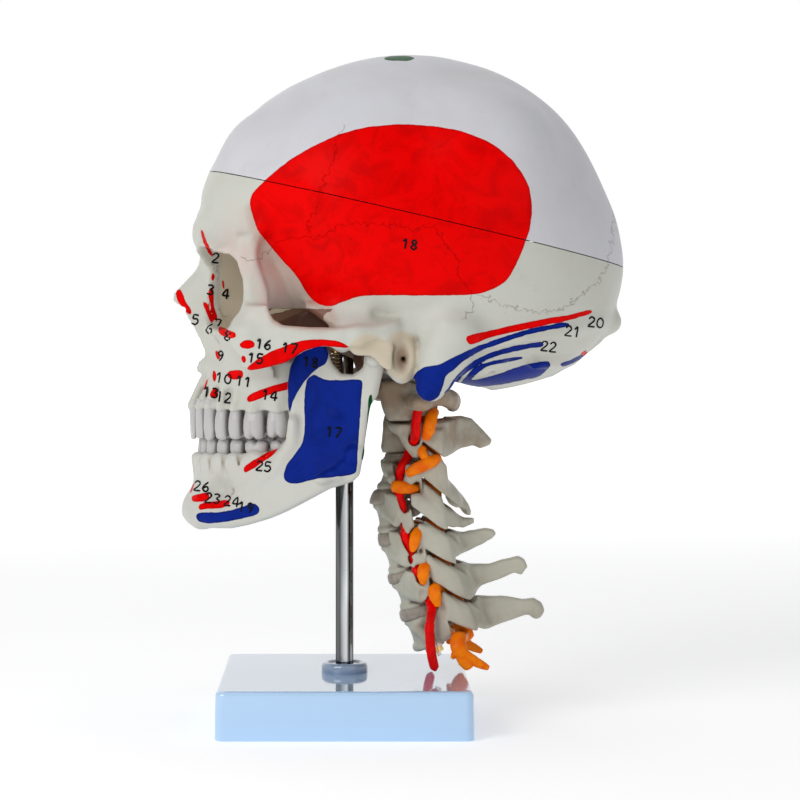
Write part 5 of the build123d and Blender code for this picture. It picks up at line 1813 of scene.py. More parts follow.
def seam_lines(look, seams, sagittal):
    """How strongly a suture shows, or None when there is none."""
    lines = []
    for k in range(1, seams + 1):
        wiggle = look.noise(330 if k < 3 else 420, detail=2, rough=0.5)
        wiggle = look.times(look.minus(wiggle, 0.5), 7.5)
        off = look.math("ABSOLUTE", look.plus(look.attribute(f"s{k}"), wiggle))
        lines.append(look.times(look.step(off, 0.10, 0.42, start=1.0, end=0.0),
                                look.attribute(f"w{k}")))
    if sagittal:
        place = look.place_axes()
        wiggle = look.times(look.minus(look.noise(300, detail=2, rough=0.5), 0.5), 0.010)
        off = look.math("ABSOLUTE", look.plus(place["X"], wiggle))
        within = look.times(look.step(place["Y"], 0.000, 0.004),
                            look.step(place["Z"], 0.235, 0.24))
        lines.append(look.times(look.step(off, 0.0001, 0.0005, start=1.0, end=0.0), within))
    seam = None
    for line in lines:
        seam = line if seam is None else look.math("MAXIMUM", seam, line)
    return seam


PAINT_COLOURS = {                      # fresh and dark tone
    "red": ((0.80, 0.0, 0.0), (0.34, 0.0, 0.0)),
    "blue": ((0.004, 0.020, 0.235), (0.001, 0.008, 0.09)),
    "green": ((0.0, 0.085, 0.016), (0.0, 0.03, 0.006)),
}


def muscle_paint(look, colour, seam, painted_hollow_shade):
    """Lays the painted areas over a colour; returns it and where there is paint."""
    wander = look.times(look.minus(look.noise(210, detail=3), 0.5), 0.9)
    total = None
    for name, (fresh, dark) in PAINT_COLOURS.items():
        distance = look.plus(look.attribute(name), wander)
        on = look.step(distance, -0.18, 0.12, start=1.0, end=0.0)
        streak = look.noise(75, detail=5, rough=0.65, distort=1.2)
        coat = look.mix(look.times(look.step(streak, 0.42, 0.70), 0.38), fresh, dark)
        edge = look.times(look.step(distance, -0.95, -0.25), 0.5)
        coat = look.mix(edge, coat, dark)
        if seam is not None:
            coat = look.mix(look.times(seam, 0.45), coat, dark)
        # painted shade in the hollows darkens the paint as well
        coat = look.mix(look.times(painted_hollow_shade, 0.35), coat, dark)
        colour = look.mix(on, colour, coat)
        total = on if total is None else look.math("MAXIMUM", total, on)
    return colour, total


def bone_material(name, base, shade, hollow_shade, rough, grain, painted=False, seams=0,
                  sagittal=False, shade_and_tints=None):
    """Cast bone; wear is the strength of the painted brown shade in the hollows, grain the strength of the
    relief.
    """
    look = Look(name)
    mottle = look.noise(170, rough=0.6)
    fine = look.noise(900, detail=3, rough=0.6)
    cavity = look.attribute("cavity")
    broad = look.step(look.noise(28, detail=5, rough=0.6, distort=0.4), 0.35, 0.7)
    colour = look.mix(broad, base, scaled(base, (0.955, 0.945, 0.925)))
    colour = look.mix(look.times(look.step(mottle, 0.58, 0.72), 0.10), colour,
                      scaled(base, 0.78))
    # painted shade and tints laid over the bone colour
    if shade_and_tints:
        colour = shade_and_tints(look, colour)
    # painted shade: brown in the hollows, darker still in the creases
    painted_hollow_shade = look.times(look.step(cavity, 0.30, 0.92), hollow_shade, clamp=True)
    colour = look.mix(painted_hollow_shade, colour, shade)
    crease = look.times(look.step(cavity, 0.72, 1.0), 0.55 * hollow_shade, clamp=True)
    colour = look.mix(crease, colour, scaled(shade, 0.45))
    height = look.plus(look.times(mottle, 0.55), look.times(fine, 0.25))
    # small pits, sunk in the relief and darkened with painted shade
    pit = look.times(look.step(look.cells(620.0), 0.05, 0.22, start=1.0, end=0.0),
                     look.step(mottle, 0.55, 0.7))
    height = look.minus(height, look.times(pit, 0.8))
    colour = look.mix(look.times(pit, 0.25), colour, shade)
    seam = seam_lines(look, seams, sagittal)
    if seam is not None:
        colour = look.mix(look.times(seam, 0.42), colour, scaled(shade, 0.62))
    gloss, specular = rough, 0.30
    if painted:
        colour, total = muscle_paint(look, colour, seam, painted_hollow_shade)
        gloss = look.mix(total, (rough,) * 3, (0.36,) * 3)
        height = look.plus(height, look.times(total, 0.25))
        specular = look.minus(0.30, look.times(total, 0.27))
    if seam is not None:
        height = look.minus(height, look.times(seam, 1.4))
    relief = look.bump(height, strength=0.55 * grain, distance=0.00035)
    relief = look.bump(look.noise(45, detail=3), strength=0.28 * grain, distance=0.0012,
                       Normal=relief)
    return look.finish(Base_Color=colour, Roughness=gloss, Normal=relief,
                       Specular_IOR_Level=specular)


def soft_material(name, base, dark, rough, scale, bump=0.3, specular=0.5):
    look = Look(name)
    mottle = look.noise(scale, detail=5, rough=0.6, distort=0.5)
    fine = look.noise(scale * 5, detail=3, rough=0.6)
    colour = look.mix(look.step(mottle, 0.35, 0.72), base, dark)
    colour = look.mix(look.times(fine, 0.15), colour, scaled(dark, 0.5))
    relief = look.bump(look.plus(mottle, look.times(fine, 0.4)), strength=bump,
                       distance=0.0005)
    return look.finish(Base_Color=colour, Normal=relief, Specular_IOR_Level=specular,
                       Roughness=look.plus(look.times(fine, 0.12), rough - 0.06))


def painted_reflection_bands(look):
    """Painted reflections: light and dark bands in the colour, by the way the surface faces across the
    camera's view.
    """
    turned_normal = look.node("ShaderNodeVectorTransform")
    turned_normal.vector_type = "NORMAL"
    turned_normal.convert_from, turned_normal.convert_to = "WORLD", "CAMERA"
    geometry = look.node("ShaderNodeNewGeometry")
    look.feed(turned_normal.inputs[0], geometry.outputs["True Normal"])
    parts = look.node("ShaderNodeSeparateXYZ", Vector=turned_normal.outputs[0])
    share = look.node("ShaderNodeMapRange", Value=parts.outputs["X"], From_Min=-1, From_Max=1)
    ramp = look.node("ShaderNodeValToRGB", Fac=share.outputs["Result"])
    elements = ramp.color_ramp.elements
    for index, tone in ((0, 0.03), (1, 0.30)):
        elements[index].color = (tone, tone, tone, 1)
    for position, tone in (
            (0.06, 0.05), (0.12, 0.20), (0.24, 0.10), (0.32, 0.30), (0.46, 0.62), (0.60, 0.86),
            (0.68, 0.34), (0.74, 0.06), (0.80, 0.10), (0.86, 0.55), (0.93, 0.12)):
        elements.new(position).color = (tone, tone * 1.02, tone * 1.03, 1)
    return ramp.outputs["Color"]


def metal_material(name, base, rough, brushed, stretch=(40, 40, 900), painted_reflections=False):
    """Stretch scales the brush marks' noise along each axis."""
    look = Look(name)
    mapping = look.node("ShaderNodeMapping", Vector=look.place)
    mapping.inputs["Scale"].default_value = stretch
    marks = look.node("ShaderNodeTexNoise", Scale=1.0, Detail=4.0, Roughness=0.6,
                      Vector=mapping.outputs["Vector"]).outputs["Fac"]
    smudge = look.noise(45, rough=0.6)
    colour = look.mix(look.times(look.step(smudge, 0.4, 0.75), 0.25), base,
                      scaled(base, 0.78))
    # painted reflections as light and dark bands in the colour
    if painted_reflections:
        colour = look.mix(1.0, colour, painted_reflection_bands(look), "MULTIPLY")
    return look.finish(Base_Color=colour, Metallic=1.0,
                       Roughness=look.plus(look.times(smudge, 0.10), rough - 0.03),
                       Normal=look.bump(marks, strength=brushed * 0.25, distance=0.00004))


def plastic_material(name, base, rough, coat, bump):
    look = Look(name)
    colour = look.mix(look.times(look.step(look.noise(36), 0.4, 0.7), 0.35), base,
                      scaled(base, (0.955, 0.96, 0.97)))
    dust = look.times(look.step(look.cells(380.0), 0.02, 0.07, start=1.0, end=0.0),
                      look.step(look.noise(60, detail=2), 0.62, 0.68))
    colour = look.mix(look.times(dust, 0.18), colour, (0.5, 0.5, 0.52))
    gloss = look.plus(look.times(look.noise(420, detail=3), 0.05), rough)
    relief = look.bump(look.noise(90, detail=2), strength=bump, distance=0.0004)
    return look.finish(Base_Color=colour, Roughness=gloss, Normal=relief, Coat_Weight=coat,
                       Specular_IOR_Level=0.55)


SKULL_SHADE = (0.26, 0.185, 0.115)
TURNED_MARKS = (900, 900, 60)
# cranium, cap and jaw are one cast bone in three tints, as painted light: yellower on the face, cooler and
# bluer on the top of the skull
cranium_mat = bone_material("cranium_bone", (0.555, 0.560, 0.505), SKULL_SHADE, hollow_shade=0.62,
                            rough=0.42, grain=1.0, painted=True, seams=5,
                            shade_and_tints=cranium_shade_and_tints)
cap_mat = bone_material("calvaria_bone", (0.60, 0.60, 0.635), SKULL_SHADE, hollow_shade=0.5,
                        rough=0.45, grain=0.9, painted=True, seams=3, sagittal=True)
jaw_mat = bone_material("mandible_bone", (0.575, 0.575, 0.530), SKULL_SHADE, hollow_shade=0.5,
                        rough=0.40, grain=0.9, painted=True)
neck_mat = bone_material("neck_bone", (0.500, 0.485, 0.400), (0.155, 0.085, 0.050), hollow_shade=0.85,
                         rough=0.42, grain=1.3, shade_and_tints=neck_shade_and_tints)
teeth_mat = bone_material("tooth_enamel", (0.50, 0.495, 0.49), (0.30, 0.28, 0.26), hollow_shade=0.75,
                          rough=0.22, grain=0.25)
disc_mat = soft_material("disc_rubber", (0.42, 0.365, 0.30), (0.27, 0.225, 0.18), rough=0.45,
                         scale=220)
nerve_mat = soft_material("nerve_rubber", (1.0, 0.245, 0.0), (0.86, 0.125, 0.0), rough=0.36,
                          scale=150, bump=0.5, specular=0.12)
artery_mat = soft_material("artery_rubber", (0.95, 0.0, 0.0), (0.60, 0.0, 0.0), rough=0.32,
                           scale=170, bump=0.4, specular=0.10)
base_mat = plastic_material("base_plastic", (0.47, 0.69, 0.96), rough=0.07, coat=0.9, bump=0.05)
cover_mat = plastic_material("cover_plastic", (0.40, 0.44, 0.50), rough=0.35, coat=0.1,
                             bump=0.4)
collar_mat = plastic_material("collar_plastic", (0.25, 0.33, 0.46), rough=0.10, coat=0.8,
                              bump=0.06)
chrome_mat = metal_material("post_chrome", (0.78, 0.79, 0.80), rough=0.06, brushed=0.2,
                            painted_reflections=True)
steel_mat = metal_material("hardware_steel", (0.58, 0.57, 0.55), rough=0.24, brushed=0.5,
                           stretch=TURNED_MARKS)
spring_mat = metal_material("spring_wire", (0.27, 0.17, 0.09), rough=0.30, brushed=0.3)
brass_mat = metal_material("brass", (0.74, 0.52, 0.22), rough=0.22, brushed=0.4,
                           stretch=TURNED_MARKS)
nylon_mat = plastic_material("nylon", (0.70, 0.70, 0.68), rough=0.38, coat=0.1, bump=0.3)
ink_mat = soft_material("ink", (0.004, 0.004, 0.006), (0.012, 0.012, 0.014), rough=0.5,
                        scale=300, specular=0.05)

# ------------------------------------------------------------------ the bones
cranium = bone_object("cranium_bone", build_cranium(), "skull", "cranium",
                      cranium_mat, saw_cut=(-0.20, False))
paint_attributes(cranium, SKULL_PAINT)
seam_attributes(cranium, [FRONTAL, SQUAMOUS, LAMBDOID, CORONAL[5:], ORBIT_SEAM])
shade_and_tint_attributes(cranium)

calvaria = bone_object("calvaria_bone", build_calvaria(), "skull_cap",
                       "calvaria", cap_mat, saw_cut=(0.20, True))
paint_attributes(calvaria, CAP_PAINT)
seam_attributes(calvaria, [CORONAL, LAMBDOID, SQUAMOUS])

mandible = bone_object("mandible_bone", build_mandible(), "jaw", "mandible",
                       jaw_mat)
paint_attributes(mandible, JAW_PAINT)
bone_object("upper_tooth_row", build_teeth(True), "skull", "upper_teeth", teeth_mat)
bone_object("lower_tooth_row", build_teeth(False), "jaw", "lower_teeth", teeth_mat)

for number in LEVELS:
    bone_object(f"c{number}_bone", build_vertebra(number), f"neck_c{number}",
                f"c{number}_vertebra", neck_mat)
bone_object("c2_bone", build_axis(), "neck_c2", "c2_axis", neck_mat)
bone_object("c1_bone", build_atlas(), "neck_c1", "c1_atlas", neck_mat)


# ------------------------------------------------------------------ discs
def disc_mesh(upper, lower, radius_x=10.1, radius_y=9.0, bulge=0.9, segments=56, rings=9):
    """A soft pad with a rounded edge between two bodies (centre, tilt, height)."""
    (centre0, tilt0, height0), (centre1, tilt1, height1) = upper, lower
    top = tilted(centre0, tilt0, 0, 0, -height0 / 2)
    bottom = tilted(centre1, tilt1, 0, 0, height1 / 2)
    tilt0, tilt1 = math.radians(tilt0), math.radians(tilt1)
    verts = []
    for r in range(rings):
        q = r / (rings - 1)
        tilt = tilt0 + (tilt1 - tilt0) * q
        centre = top + (bottom - top) * (0.03 + 0.94 * q)
        out = math.sqrt(max(0.0, 1 - (2 * q - 1) ** 2))
        swell = bulge * (out ** 0.8) - 0.5 * (abs(2 * q - 1) ** 6)
        for i in range(segments):
            angle = 2 * math.pi * i / segments
            c, s = math.cos(angle), math.sin(angle)
            x = (radius_x + swell) * math.copysign(abs(c) ** 0.9, c)
            y = (radius_y + swell * (1.25 if s < 0 else 0.5)) * math.copysign(abs(s) ** 0.9, s)
            if y > 0:
                y *= 0.93
            # fine unevenness across
            wave = 0.06 * math.sin(9 * angle + 3 * r) + 0.05 * math.sin(17 * angle + r)
            verts.append(centre + np.array([x * (1 + wave * 0.04), y * math.cos(tilt),
                                            y * math.sin(tilt)]))
    faces = ring_faces(rings, segments)
    verts.append(top + (bottom - top) * 0.05)
    verts.append(top + (bottom - top) * 0.95)
    top_vert, last_ring = rings * segments, (rings - 1) * segments
    for i in range(segments):
        j = (i + 1) % segments
        faces.append((top_vert, j, i))
        faces.append((top_vert + 1, last_ring + i, last_ring + j))
    return np.array(verts), faces, top, bottom


# discs by the level above: the two bodies, then radii and bulge where they differ
DISCS = {
    2: (((25.8, 125.1), 0.0, 13.0), ((26.0, 110.0), 6.0, 12.6), 9.2, 7.2, 0.4),
    3: (((23.4, 110.0), 6.0, 12.6), ((22.2, 91.0), 11.0, 11.8), 10.3, 9.4, 1.4),
}
DISCS.update({a: (LEVELS[a][:3], LEVELS[a + 1][:3]) for a in (4, 5, 6)})
for above, sizes in DISCS.items():
    verts, faces, top, bottom = disc_mesh(*sizes)
    disc = make_object(f"disc_{above}_{above + 1}", verts, faces, disc_mat)
    register(disc, None, (f"disc_c{above}_c{above + 1}",))
    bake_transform(disc, f"neck_c{above}", f"neck_c{above + 1}", start=tuple(top * MM),
             end=tuple(bottom * MM))


# ------------------------------------------------------------------ cord and nerves
def both_sides(verts, faces):
    mirrored = np.array(verts) * (-1, 1, 1)
    return [(verts, faces), (mirrored, [tuple(reversed(face)) for face in faces])]


def strand(stations, radii, seed, segments=14):
    """A wobbly tube through the stations; radii are pairs spread along it."""
    line = smooth_line(stations, 5)
    share = np.linspace(0, len(radii) - 1, len(line))
    spread = [np.interp(share, range(len(radii)), [pair[k] for pair in radii]) for k in (0, 1)]
    return sweep(line, np.stack(spread, 1), segments, wobble=0.02, seed=seed)


def between_levels(above, x, y, z):
    """Own x, y, z of the gap under a level, turned into the frame's."""
    upper, lower = LEVELS[above], LEVELS[above + 1]
    centre = [(a + b) / 2 for a, b in zip(upper.centre, lower.centre)]
    return tilted(centre, (upper.tilt + lower.tilt) / 2, x, y, z)


CORD = [(38, 148.6), (37.4, 133.6), (38.8, 116.5), (39.2, 101.5), (40.6, 84.0), (44.0, 67.5),
        (49.5, 51.0), (54.0, 36.0)]    # (y, z)
CORD_RADII = (3.9, 3.4)
CORD_CUTS = [0, 6, 16, 25, 35, 45, 55, 64, 70]       # stations where a length ends
cord_line = smooth_line([(0, y, z) for y, z in CORD], 10)

# nerve roots by the level above: stations (x, y, z) and radii along each root
NERVE_ROOTS = {
    0: [],
    1: [([(2, 38.5, 135.8), (12, 39.6, 136.6), (19.5, 38.8, 137), (22.4, 37.6, 133.6),
          (22.9, 36.6, 129.6), (22.4, 35.4, 125.6)],
         [(1.8, 1.6), (2.0, 1.8), (2.4, 2.0), (2.9, 1.8), (2.9, 1.6), (1.8, 1.2)])],
    2: [([(2, 38.8, 117.5), (11, 40, 117), (18.6, 39.8, 116.4), (21.6, 36.4, 115),
          (22.2, 31.6, 112.8), (21.8, 27.6, 110.4)],
         [(1.9, 1.7), (2.2, 1.9), (2.8, 2.4), (2.4, 2.9), (1.8, 2.9), (1.4, 2.0)]),
        ([(9, 37.4, 118.6), (15, 34.8, 120.6), (20, 33.6, 121), (21.4, 34.4, 118.6),
          (21.2, 36.4, 115.6)],
         [(1.5, 1.4), (1.9, 1.7), (2.0, 1.8), (2.0, 2.0), (1.8, 1.8)])],
    7: [([(2, 53, 38.5), (14, 51.5, 38), (22.5, 50, 39.2), (26, 49.4, 36.2), (27, 50.6, 32.2)],
         [(2.4, 2.0), (2.8, 2.2), (3.4, 2.4), (3.6, 2.4), (3.4, 2.4)]),
        ([(26.6, 50, 34), (27.3, 52.4, 29.6), (27.3, 54.2, 26.6)],
         [(3.2, 2.3), (3.3, 2.3), (2.3, 1.8)]),
        ([(26.8, 51, 32.6), (27.6, 55.6, 29.8), (27.8, 60, 27.6), (27.6, 62.4, 26.4)],
         [(2.8, 2.0), (2.4, 1.8), (1.8, 1.5), (1.2, 1.0)]),
        ([(26.4, 49.6, 35), (25.6, 48, 32.2), (25.4, 47, 30.4)],
         [(2.0, 1.6), (1.6, 1.4), (1.0, 0.9)])],
}
# the same in the own axes of the gap between two levels
GAP_ROOTS = {
    3: ([(2, 13.4, 0.3), (12, 9.5, 1.6), (19.2, 5.4, 2.4), (21.8, 1.8, 3.8),
         (22.0, -1.8, 4.8)],
        [(1.8, 1.6), (2.0, 1.8), (2.1, 2.2), (1.8, 2.9), (1.5, 2.5)]),
    4: ([(2, 13.4, 0.3), (11, 10.4, 1.0), (17.8, 8.2, 1.4), (20.8, 6.2, -0.8),
         (21.7, 4.6, -4.0), (21.4, 3.2, -6.4)],
        [(1.8, 1.6), (2.0, 1.8), (2.4, 1.9), (2.7, 1.8), (2.4, 1.6), (1.2, 1.0)]),
    5: ([(2, 13.4, 0.3), (11, 10.4, 1.6), (17.8, 8.0, 2.8), (20.8, 6.4, 1.4),
         (21.7, 5.0, -1.6), (21.4, 4.0, -4.4)],
        [(1.8, 1.6), (2.0, 1.8), (2.4, 1.9), (2.8, 1.8), (2.6, 1.6), (1.3, 1.0)]),
    6: ([(2, 13.4, 0.3), (11, 11.4, 4.4), (18.2, 9.6, 9.2), (21.0, 8.4, 8.4),
         (21.8, 7.8, 5.2), (21.6, 7.6, 1.6)],
        [(1.8, 1.6), (2.0, 1.8), (2.4, 1.9), (2.9, 1.8), (2.7, 1.6), (1.4, 1.0)]),
}
for above, (stations, radii) in GAP_ROOTS.items():
    NERVE_ROOTS[above] = [([between_levels(above, *place) for place in stations], radii)]


def make_cord_length(above):
    """One length of cord with its roots; those between two bones bend with both."""
    piece = cord_line[CORD_CUTS[above]:CORD_CUTS[above + 1] + 1]
    cord_seed, root_seed = (9, 21) if above == 7 else (above, above + 5)
    parts = [sweep(piece, CORD_RADII, 20, wobble=0.008, seed=cord_seed)]
    for stations, radii in NERVE_ROOTS[above]:
        parts += both_sides(*strand(stations, radii, seed=root_seed))
    obj = make_object(f"nerve_cord_{above}", *join_meshes(parts), nerve_mat)
    if above in (0, 7):
        level = max(above, 1)
        register(obj, f"neck_c{level}", (f"spinal_nerves_c{level}",))
        return
    register(obj, None, (f"spinal_nerves_c{above}",) if above > 1 else ())
    # the bend takes up the middle half
    middle = (piece[0] + piece[-1]) / 2
    start, end = (middle + (tip - middle) * 0.5 for tip in (piece[0], piece[-1]))
    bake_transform(obj, f"neck_c{above}", f"neck_c{above + 1}", start=tuple(start * MM),
             end=tuple(end * MM))


for above in range(8):
    make_cord_length(above)


# ------------------------------------------------------------------ vertebral arteries
ARTERY_RADII = [(1.85, 1.85), (2.1, 2.0), (2.1, 2.0), (1.85, 1.85)]


def artery_course(above):
    """Stations under a level, and where its bend starts and ends."""
    if above == 1:
        stations = [(26, 32.4, 143), (25.6, 31.8, 138), *AXIS_ARTERY]
        return stations, (26, 32.4, 137.6), (24.7, 31.2, 133.0)
    if above == 2:
        stations = [(16.8, 29.4, 122.8), (14.7, 28.5, 119.8), (16.2, 27.2, 116.6),
                    (18.2, 25.4, 113.8), (17.6, 24.5, 111.6), (16.6, 24.2, 109.6)]
        return stations, (15.4, 27.9, 118.0), (18.0, 25.6, 114.2)
    hole = at_level(above, HOLE_X, HOLE_Y[above], 0.0)
    if above == 6:
        leaving = (16.7, 37.3, 54.6)
        stations = [hole + (0, -0.2, 0.6), leaving, (19.5, 38.1, 51.6), (23.2, 37.7, 48.6),
                    (25.4, 37.2, 45.2)]
        return stations, leaving, (25.0, 37.3, 46.2)
    below = above + 1
    next_hole = at_level(below, HOLE_X, HOLE_Y[below], 0.0)
    leaving = at_level(above, HOLE_X, HOLE_Y[above], -5.0)
    entering = at_level(below, 17.0, HOLE_Y[below], 4.6)
    middle = (leaving + entering) / 2 + (0.8, -1.0, 0)
    return ([hole + (0, 0, 0.5), leaving, middle, entering, next_hole - (0, 0, 0.5)],
            leaving, entering)


for above in range(1, 7):
    stations, start, end = artery_course(above)
    parts = both_sides(*strand(stations, ARTERY_RADII, seed=40 + above, segments=16))
    artery = make_object(f"artery_{above}_{above + 1}", *join_meshes(parts), artery_mat)
    register(artery, None, (f"vertebral_arteries_c{above}",))
    # the bend is measured on the middle plane
    start, end = (np.array((0.0, *place[1:])) * MM for place in (start, end))
    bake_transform(artery, f"neck_c{above}", f"neck_c{above + 1}", start=tuple(start),
             end=tuple(end))

tail = strand([(25.2, 37.2, 45.6), (25.8, 37.0, 41), (26.1, 37.9, 32), (26.1, 39.1, 26.6),
               (26.1, 39.5, 25.0)],
              [(2.1, 2.0), (2.15, 2.1), (2.15, 2.1), (2.0, 2.0), (0.7, 0.7)],
              seed=51, segments=16)
artery_tail = make_object("artery_tail", *join_meshes(both_sides(*tail)), artery_mat)
register(artery_tail, "neck_c7", ("vertebral_arteries_c7",))

# ------------------------------------------------------------------ stand
base_low, base_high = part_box("base_shell")
BASE_X = (base_high.x - base_low.x) * 1000
BASE_Y = (base_high.y - base_low.y) * 1000
BASE_BOTTOM, BASE_TOP = base_low.z * 1000, base_high.z * 1000
BASE_CORNER = 4.0                      # corner radius in plan
BASE_ROUNDING = 2.2                    # of the upper edge
BASE_DRAFT = math.tan(math.radians(0.8))
FOOT = 0.7                             # height of the rounded foot


def base_ring(z, inset, radius, steps=10):
    """A rounded rectangle at height z, moved in by the inset."""
    reach_x = (BASE_X - 2 * inset) / 2 - radius
    reach_y = (BASE_Y - 2 * inset) / 2 - radius
    ring = []
    for sign_x, sign_y, start in ((1, 1, 0), (-1, 1, 90), (-1, -1, 180), (1, -1, 270)):
        for i in range(steps + 1):
            angle = math.radians(start + 90 * i / steps)
            ring.append((sign_x * reach_x + radius * math.cos(angle),
                         sign_y * reach_y + radius * math.sin(angle), z))
    return ring


def loft(rings, lid=False):
    """Joins rings of equal counts; the lid closes the last."""
    count = len(rings[0])
    faces = ring_faces(len(rings), count)
    if lid:
        faces.append(tuple((len(rings) - 1) * count + i for i in range(count)))
    return np.array([place for ring in rings for place in ring]), faces


def make_base():
    rings = [base_ring(BASE_BOTTOM + rise, inset, BASE_CORNER - inset)
             for rise, inset in ((0.0, 0.5), (0.25, 0.15), (FOOT, 0.0))]
    for k in range(11):
        angle = math.pi / 2 * k / 10
        inward = 1 - math.cos(angle)
        rings.append(base_ring(
            BASE_TOP - BASE_ROUNDING + BASE_ROUNDING * math.sin(angle),
            BASE_DRAFT * (BASE_TOP - BASE_BOTTOM - FOOT) + BASE_ROUNDING * inward,
            BASE_CORNER - BASE_ROUNDING * 0.5 * inward))
    # the top face in rings, so the gloss stays smooth
    for inset in (3.2, 8.0, 20.0):
        rings.append(base_ring(BASE_TOP, inset, max(BASE_CORNER, inset * 0.6)))
    outside = loft(rings)
    # the middle of the top, closed to a point under the collar
    circle = []
    for x, y, _ in rings[-1]:
        angle = math.atan2(y, x)
        circle.append((9.2 * math.cos(angle), 9.2 * math.sin(angle), BASE_TOP))
    middle = loft([rings[-1], circle])
    # the hollow underside, with the recess for the cover
    under = [rings[0]]
    for z, inset in ((BASE_BOTTOM, 2.6), (BASE_BOTTOM + 2.6, 2.7), (BASE_BOTTOM + 2.6, 4.2),
                     (BASE_TOP - 3.4, 4.4), (BASE_TOP - 2.8, 5.0)):
        under.append(base_ring(z, inset, 3.0))
    under_verts, under_faces = loft(under, lid=True)
    under_faces = [tuple(reversed(face)) for face in under_faces]
    verts, faces = join_meshes([outside, middle, (under_verts, under_faces)])
    centre, count = len(verts), len(circle)
    verts = np.vstack([verts, [[0, 0, BASE_TOP]]])
    first = len(outside[0]) + count
    for i in range(count):
        faces.append((first + i, first + (i + 1) % count, centre))
    base = make_object("base_block", verts, faces, base_mat)
    weld_and_crease(base, 35)
    register(base, "stand", ("base_shell",))


def make_turned(name, profile, body, replaced, material, centre_y=0, segments=72):
    """A turned part from (radius, height) pairs."""
    verts, faces = lathe(profile, segments)
    part = make_object(name, verts + np.array([0, centre_y, 0]), faces, material)
    weld_and_crease(part, 40)
    register(part, body, (replaced,))


make_base()
# (radius, height above the base)
COLLAR = [(4.15, -0.2), (10.1, -0.2), (10.3, 0.1), (10.3, 2.7), (10.2, 3.2), (9.8, 3.9),
          (9.2, 4.35), (8.5, 4.5), (8.0, 4.4), (7.4, 3.9), (6.9, 3.4), (4.6, 3.3), (4.15, 3.0)]
make_turned("collar_ring", [(radius, BASE_TOP + rise) for radius, rise in COLLAR],
            "stand", "post_collar", collar_mat, segments=96)
make_turned("post_rod", [
    (0.0, 5.0), (2.8, 5.0), (3.0, 5.4), (3.0, 12.4), (4.0, 12.6), (4.0, 178.6), (3.7, 179.5),
    (3.1, 179.95), (0.0, 180.0)], "stand", "post", chrome_mat)
make_turned("cap_sleeve", [
    (4.12, 165.3), (8.5, 165.0), (8.95, 165.35), (9.0, 166.6), (8.7, 167.0), (7.15, 167.1),
    (7.0, 167.5), (7.0, 183.2), (6.6, 183.9), (5.9, 184.0), (0.0, 184.0), (0.0, 180.2),
    (4.05, 180.2), (4.12, 179.8)], "turning_cap", "support_cap", nylon_mat)
make_turned("neck_hanger", [
    (0.0, 149.7), (7.6, 149.7), (8.0, 150.1), (8.0, 151.3), (8.6, 151.6), (13.4, 151.6),
    (14.1, 152.2), (14.2, 157.2), (13.6, 157.9), (0.0, 158.0)],
    "neck_mount", "neck_plug", nylon_mat, centre_y=FORAMEN_Y)


def make_springs():
    """The two coil springs that hold the jaw up; their pitch changes along the coil."""
    turns, steps_per_turn = 12, 22
    top, bottom = 166.9, 146.1
    coil_radius, wire_radius = 2.0, 0.42
    parts = []
    for side in (1, -1):
        path = []
        for i in range(turns * steps_per_turn + 1):
            q = i / (turns * steps_per_turn)
            angle = 2 * math.pi * turns * q
            path.append((side * SPRING_X + coil_radius * math.cos(angle),
                         SPRING_Y + coil_radius * math.sin(angle),
                         bottom + (top - bottom) * (q + 0.030 * math.sin(2 * math.pi * q))))
        parts.append(sweep(path, wire_radius, 8))
    springs = make_object("jaw_coils", *join_meshes(parts), spring_mat)
    register(springs, None, ("jaw_springs",))
    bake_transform(springs, "skull", "jaw", start=(0, -0.004, 0.1662), end=(0, -0.004, 0.1468))


make_springs()

# ------------------------------------------------------------------ small numerals
DIGIT_HEIGHT = 1.4                     # of the strokes below, (right, up)
DIGIT_PITCH = 1.25
DIGITS = {
    "0": points("0.5,0 0.15,0.2 0,0.6 0.1,1.1 0.45,1.4 0.8,1.15 0.9,0.7 0.8,0.2 0.5,0"),
    "1": points("0.1,1.05 0.45,1.4 0.45,0"),
    "2": points("0.05,1.1 0.3,1.4 0.7,1.3 0.8,0.95 0.45,0.5 0,0 0.9,0"),
    "3": points("0.05,1.3 0.5,1.4 0.8,1.1 0.4,0.75 0.85,0.4 0.5,0 0,0.1"),
    "4": points("0.65,0 0.65,1.4 0,0.45 0.95,0.45"),
    "5": points("0.8,1.4 0.15,1.4 0.1,0.8 0.6,0.85 0.85,0.45 0.5,0 0,0.1"),
    "6": points("0.7,1.4 0.2,0.9 0,0.4 0.4,0 0.8,0.3 0.6,0.75 0.1,0.5"),
    "7": points("0,1.4 0.85,1.4 0.3,0"),
    "8": points("""0.45,0.75 0.1,1.05 0.45,1.4 0.8,1.05 0.45,0.75 0.05,0.35 0.45,0
                0.85,0.35 0.45,0.75"""),
    "9": points("0.8,1 0.4,0.7 0.1,1.05 0.4,1.4 0.8,1.1 0.7,0.5 0.4,0"),
}
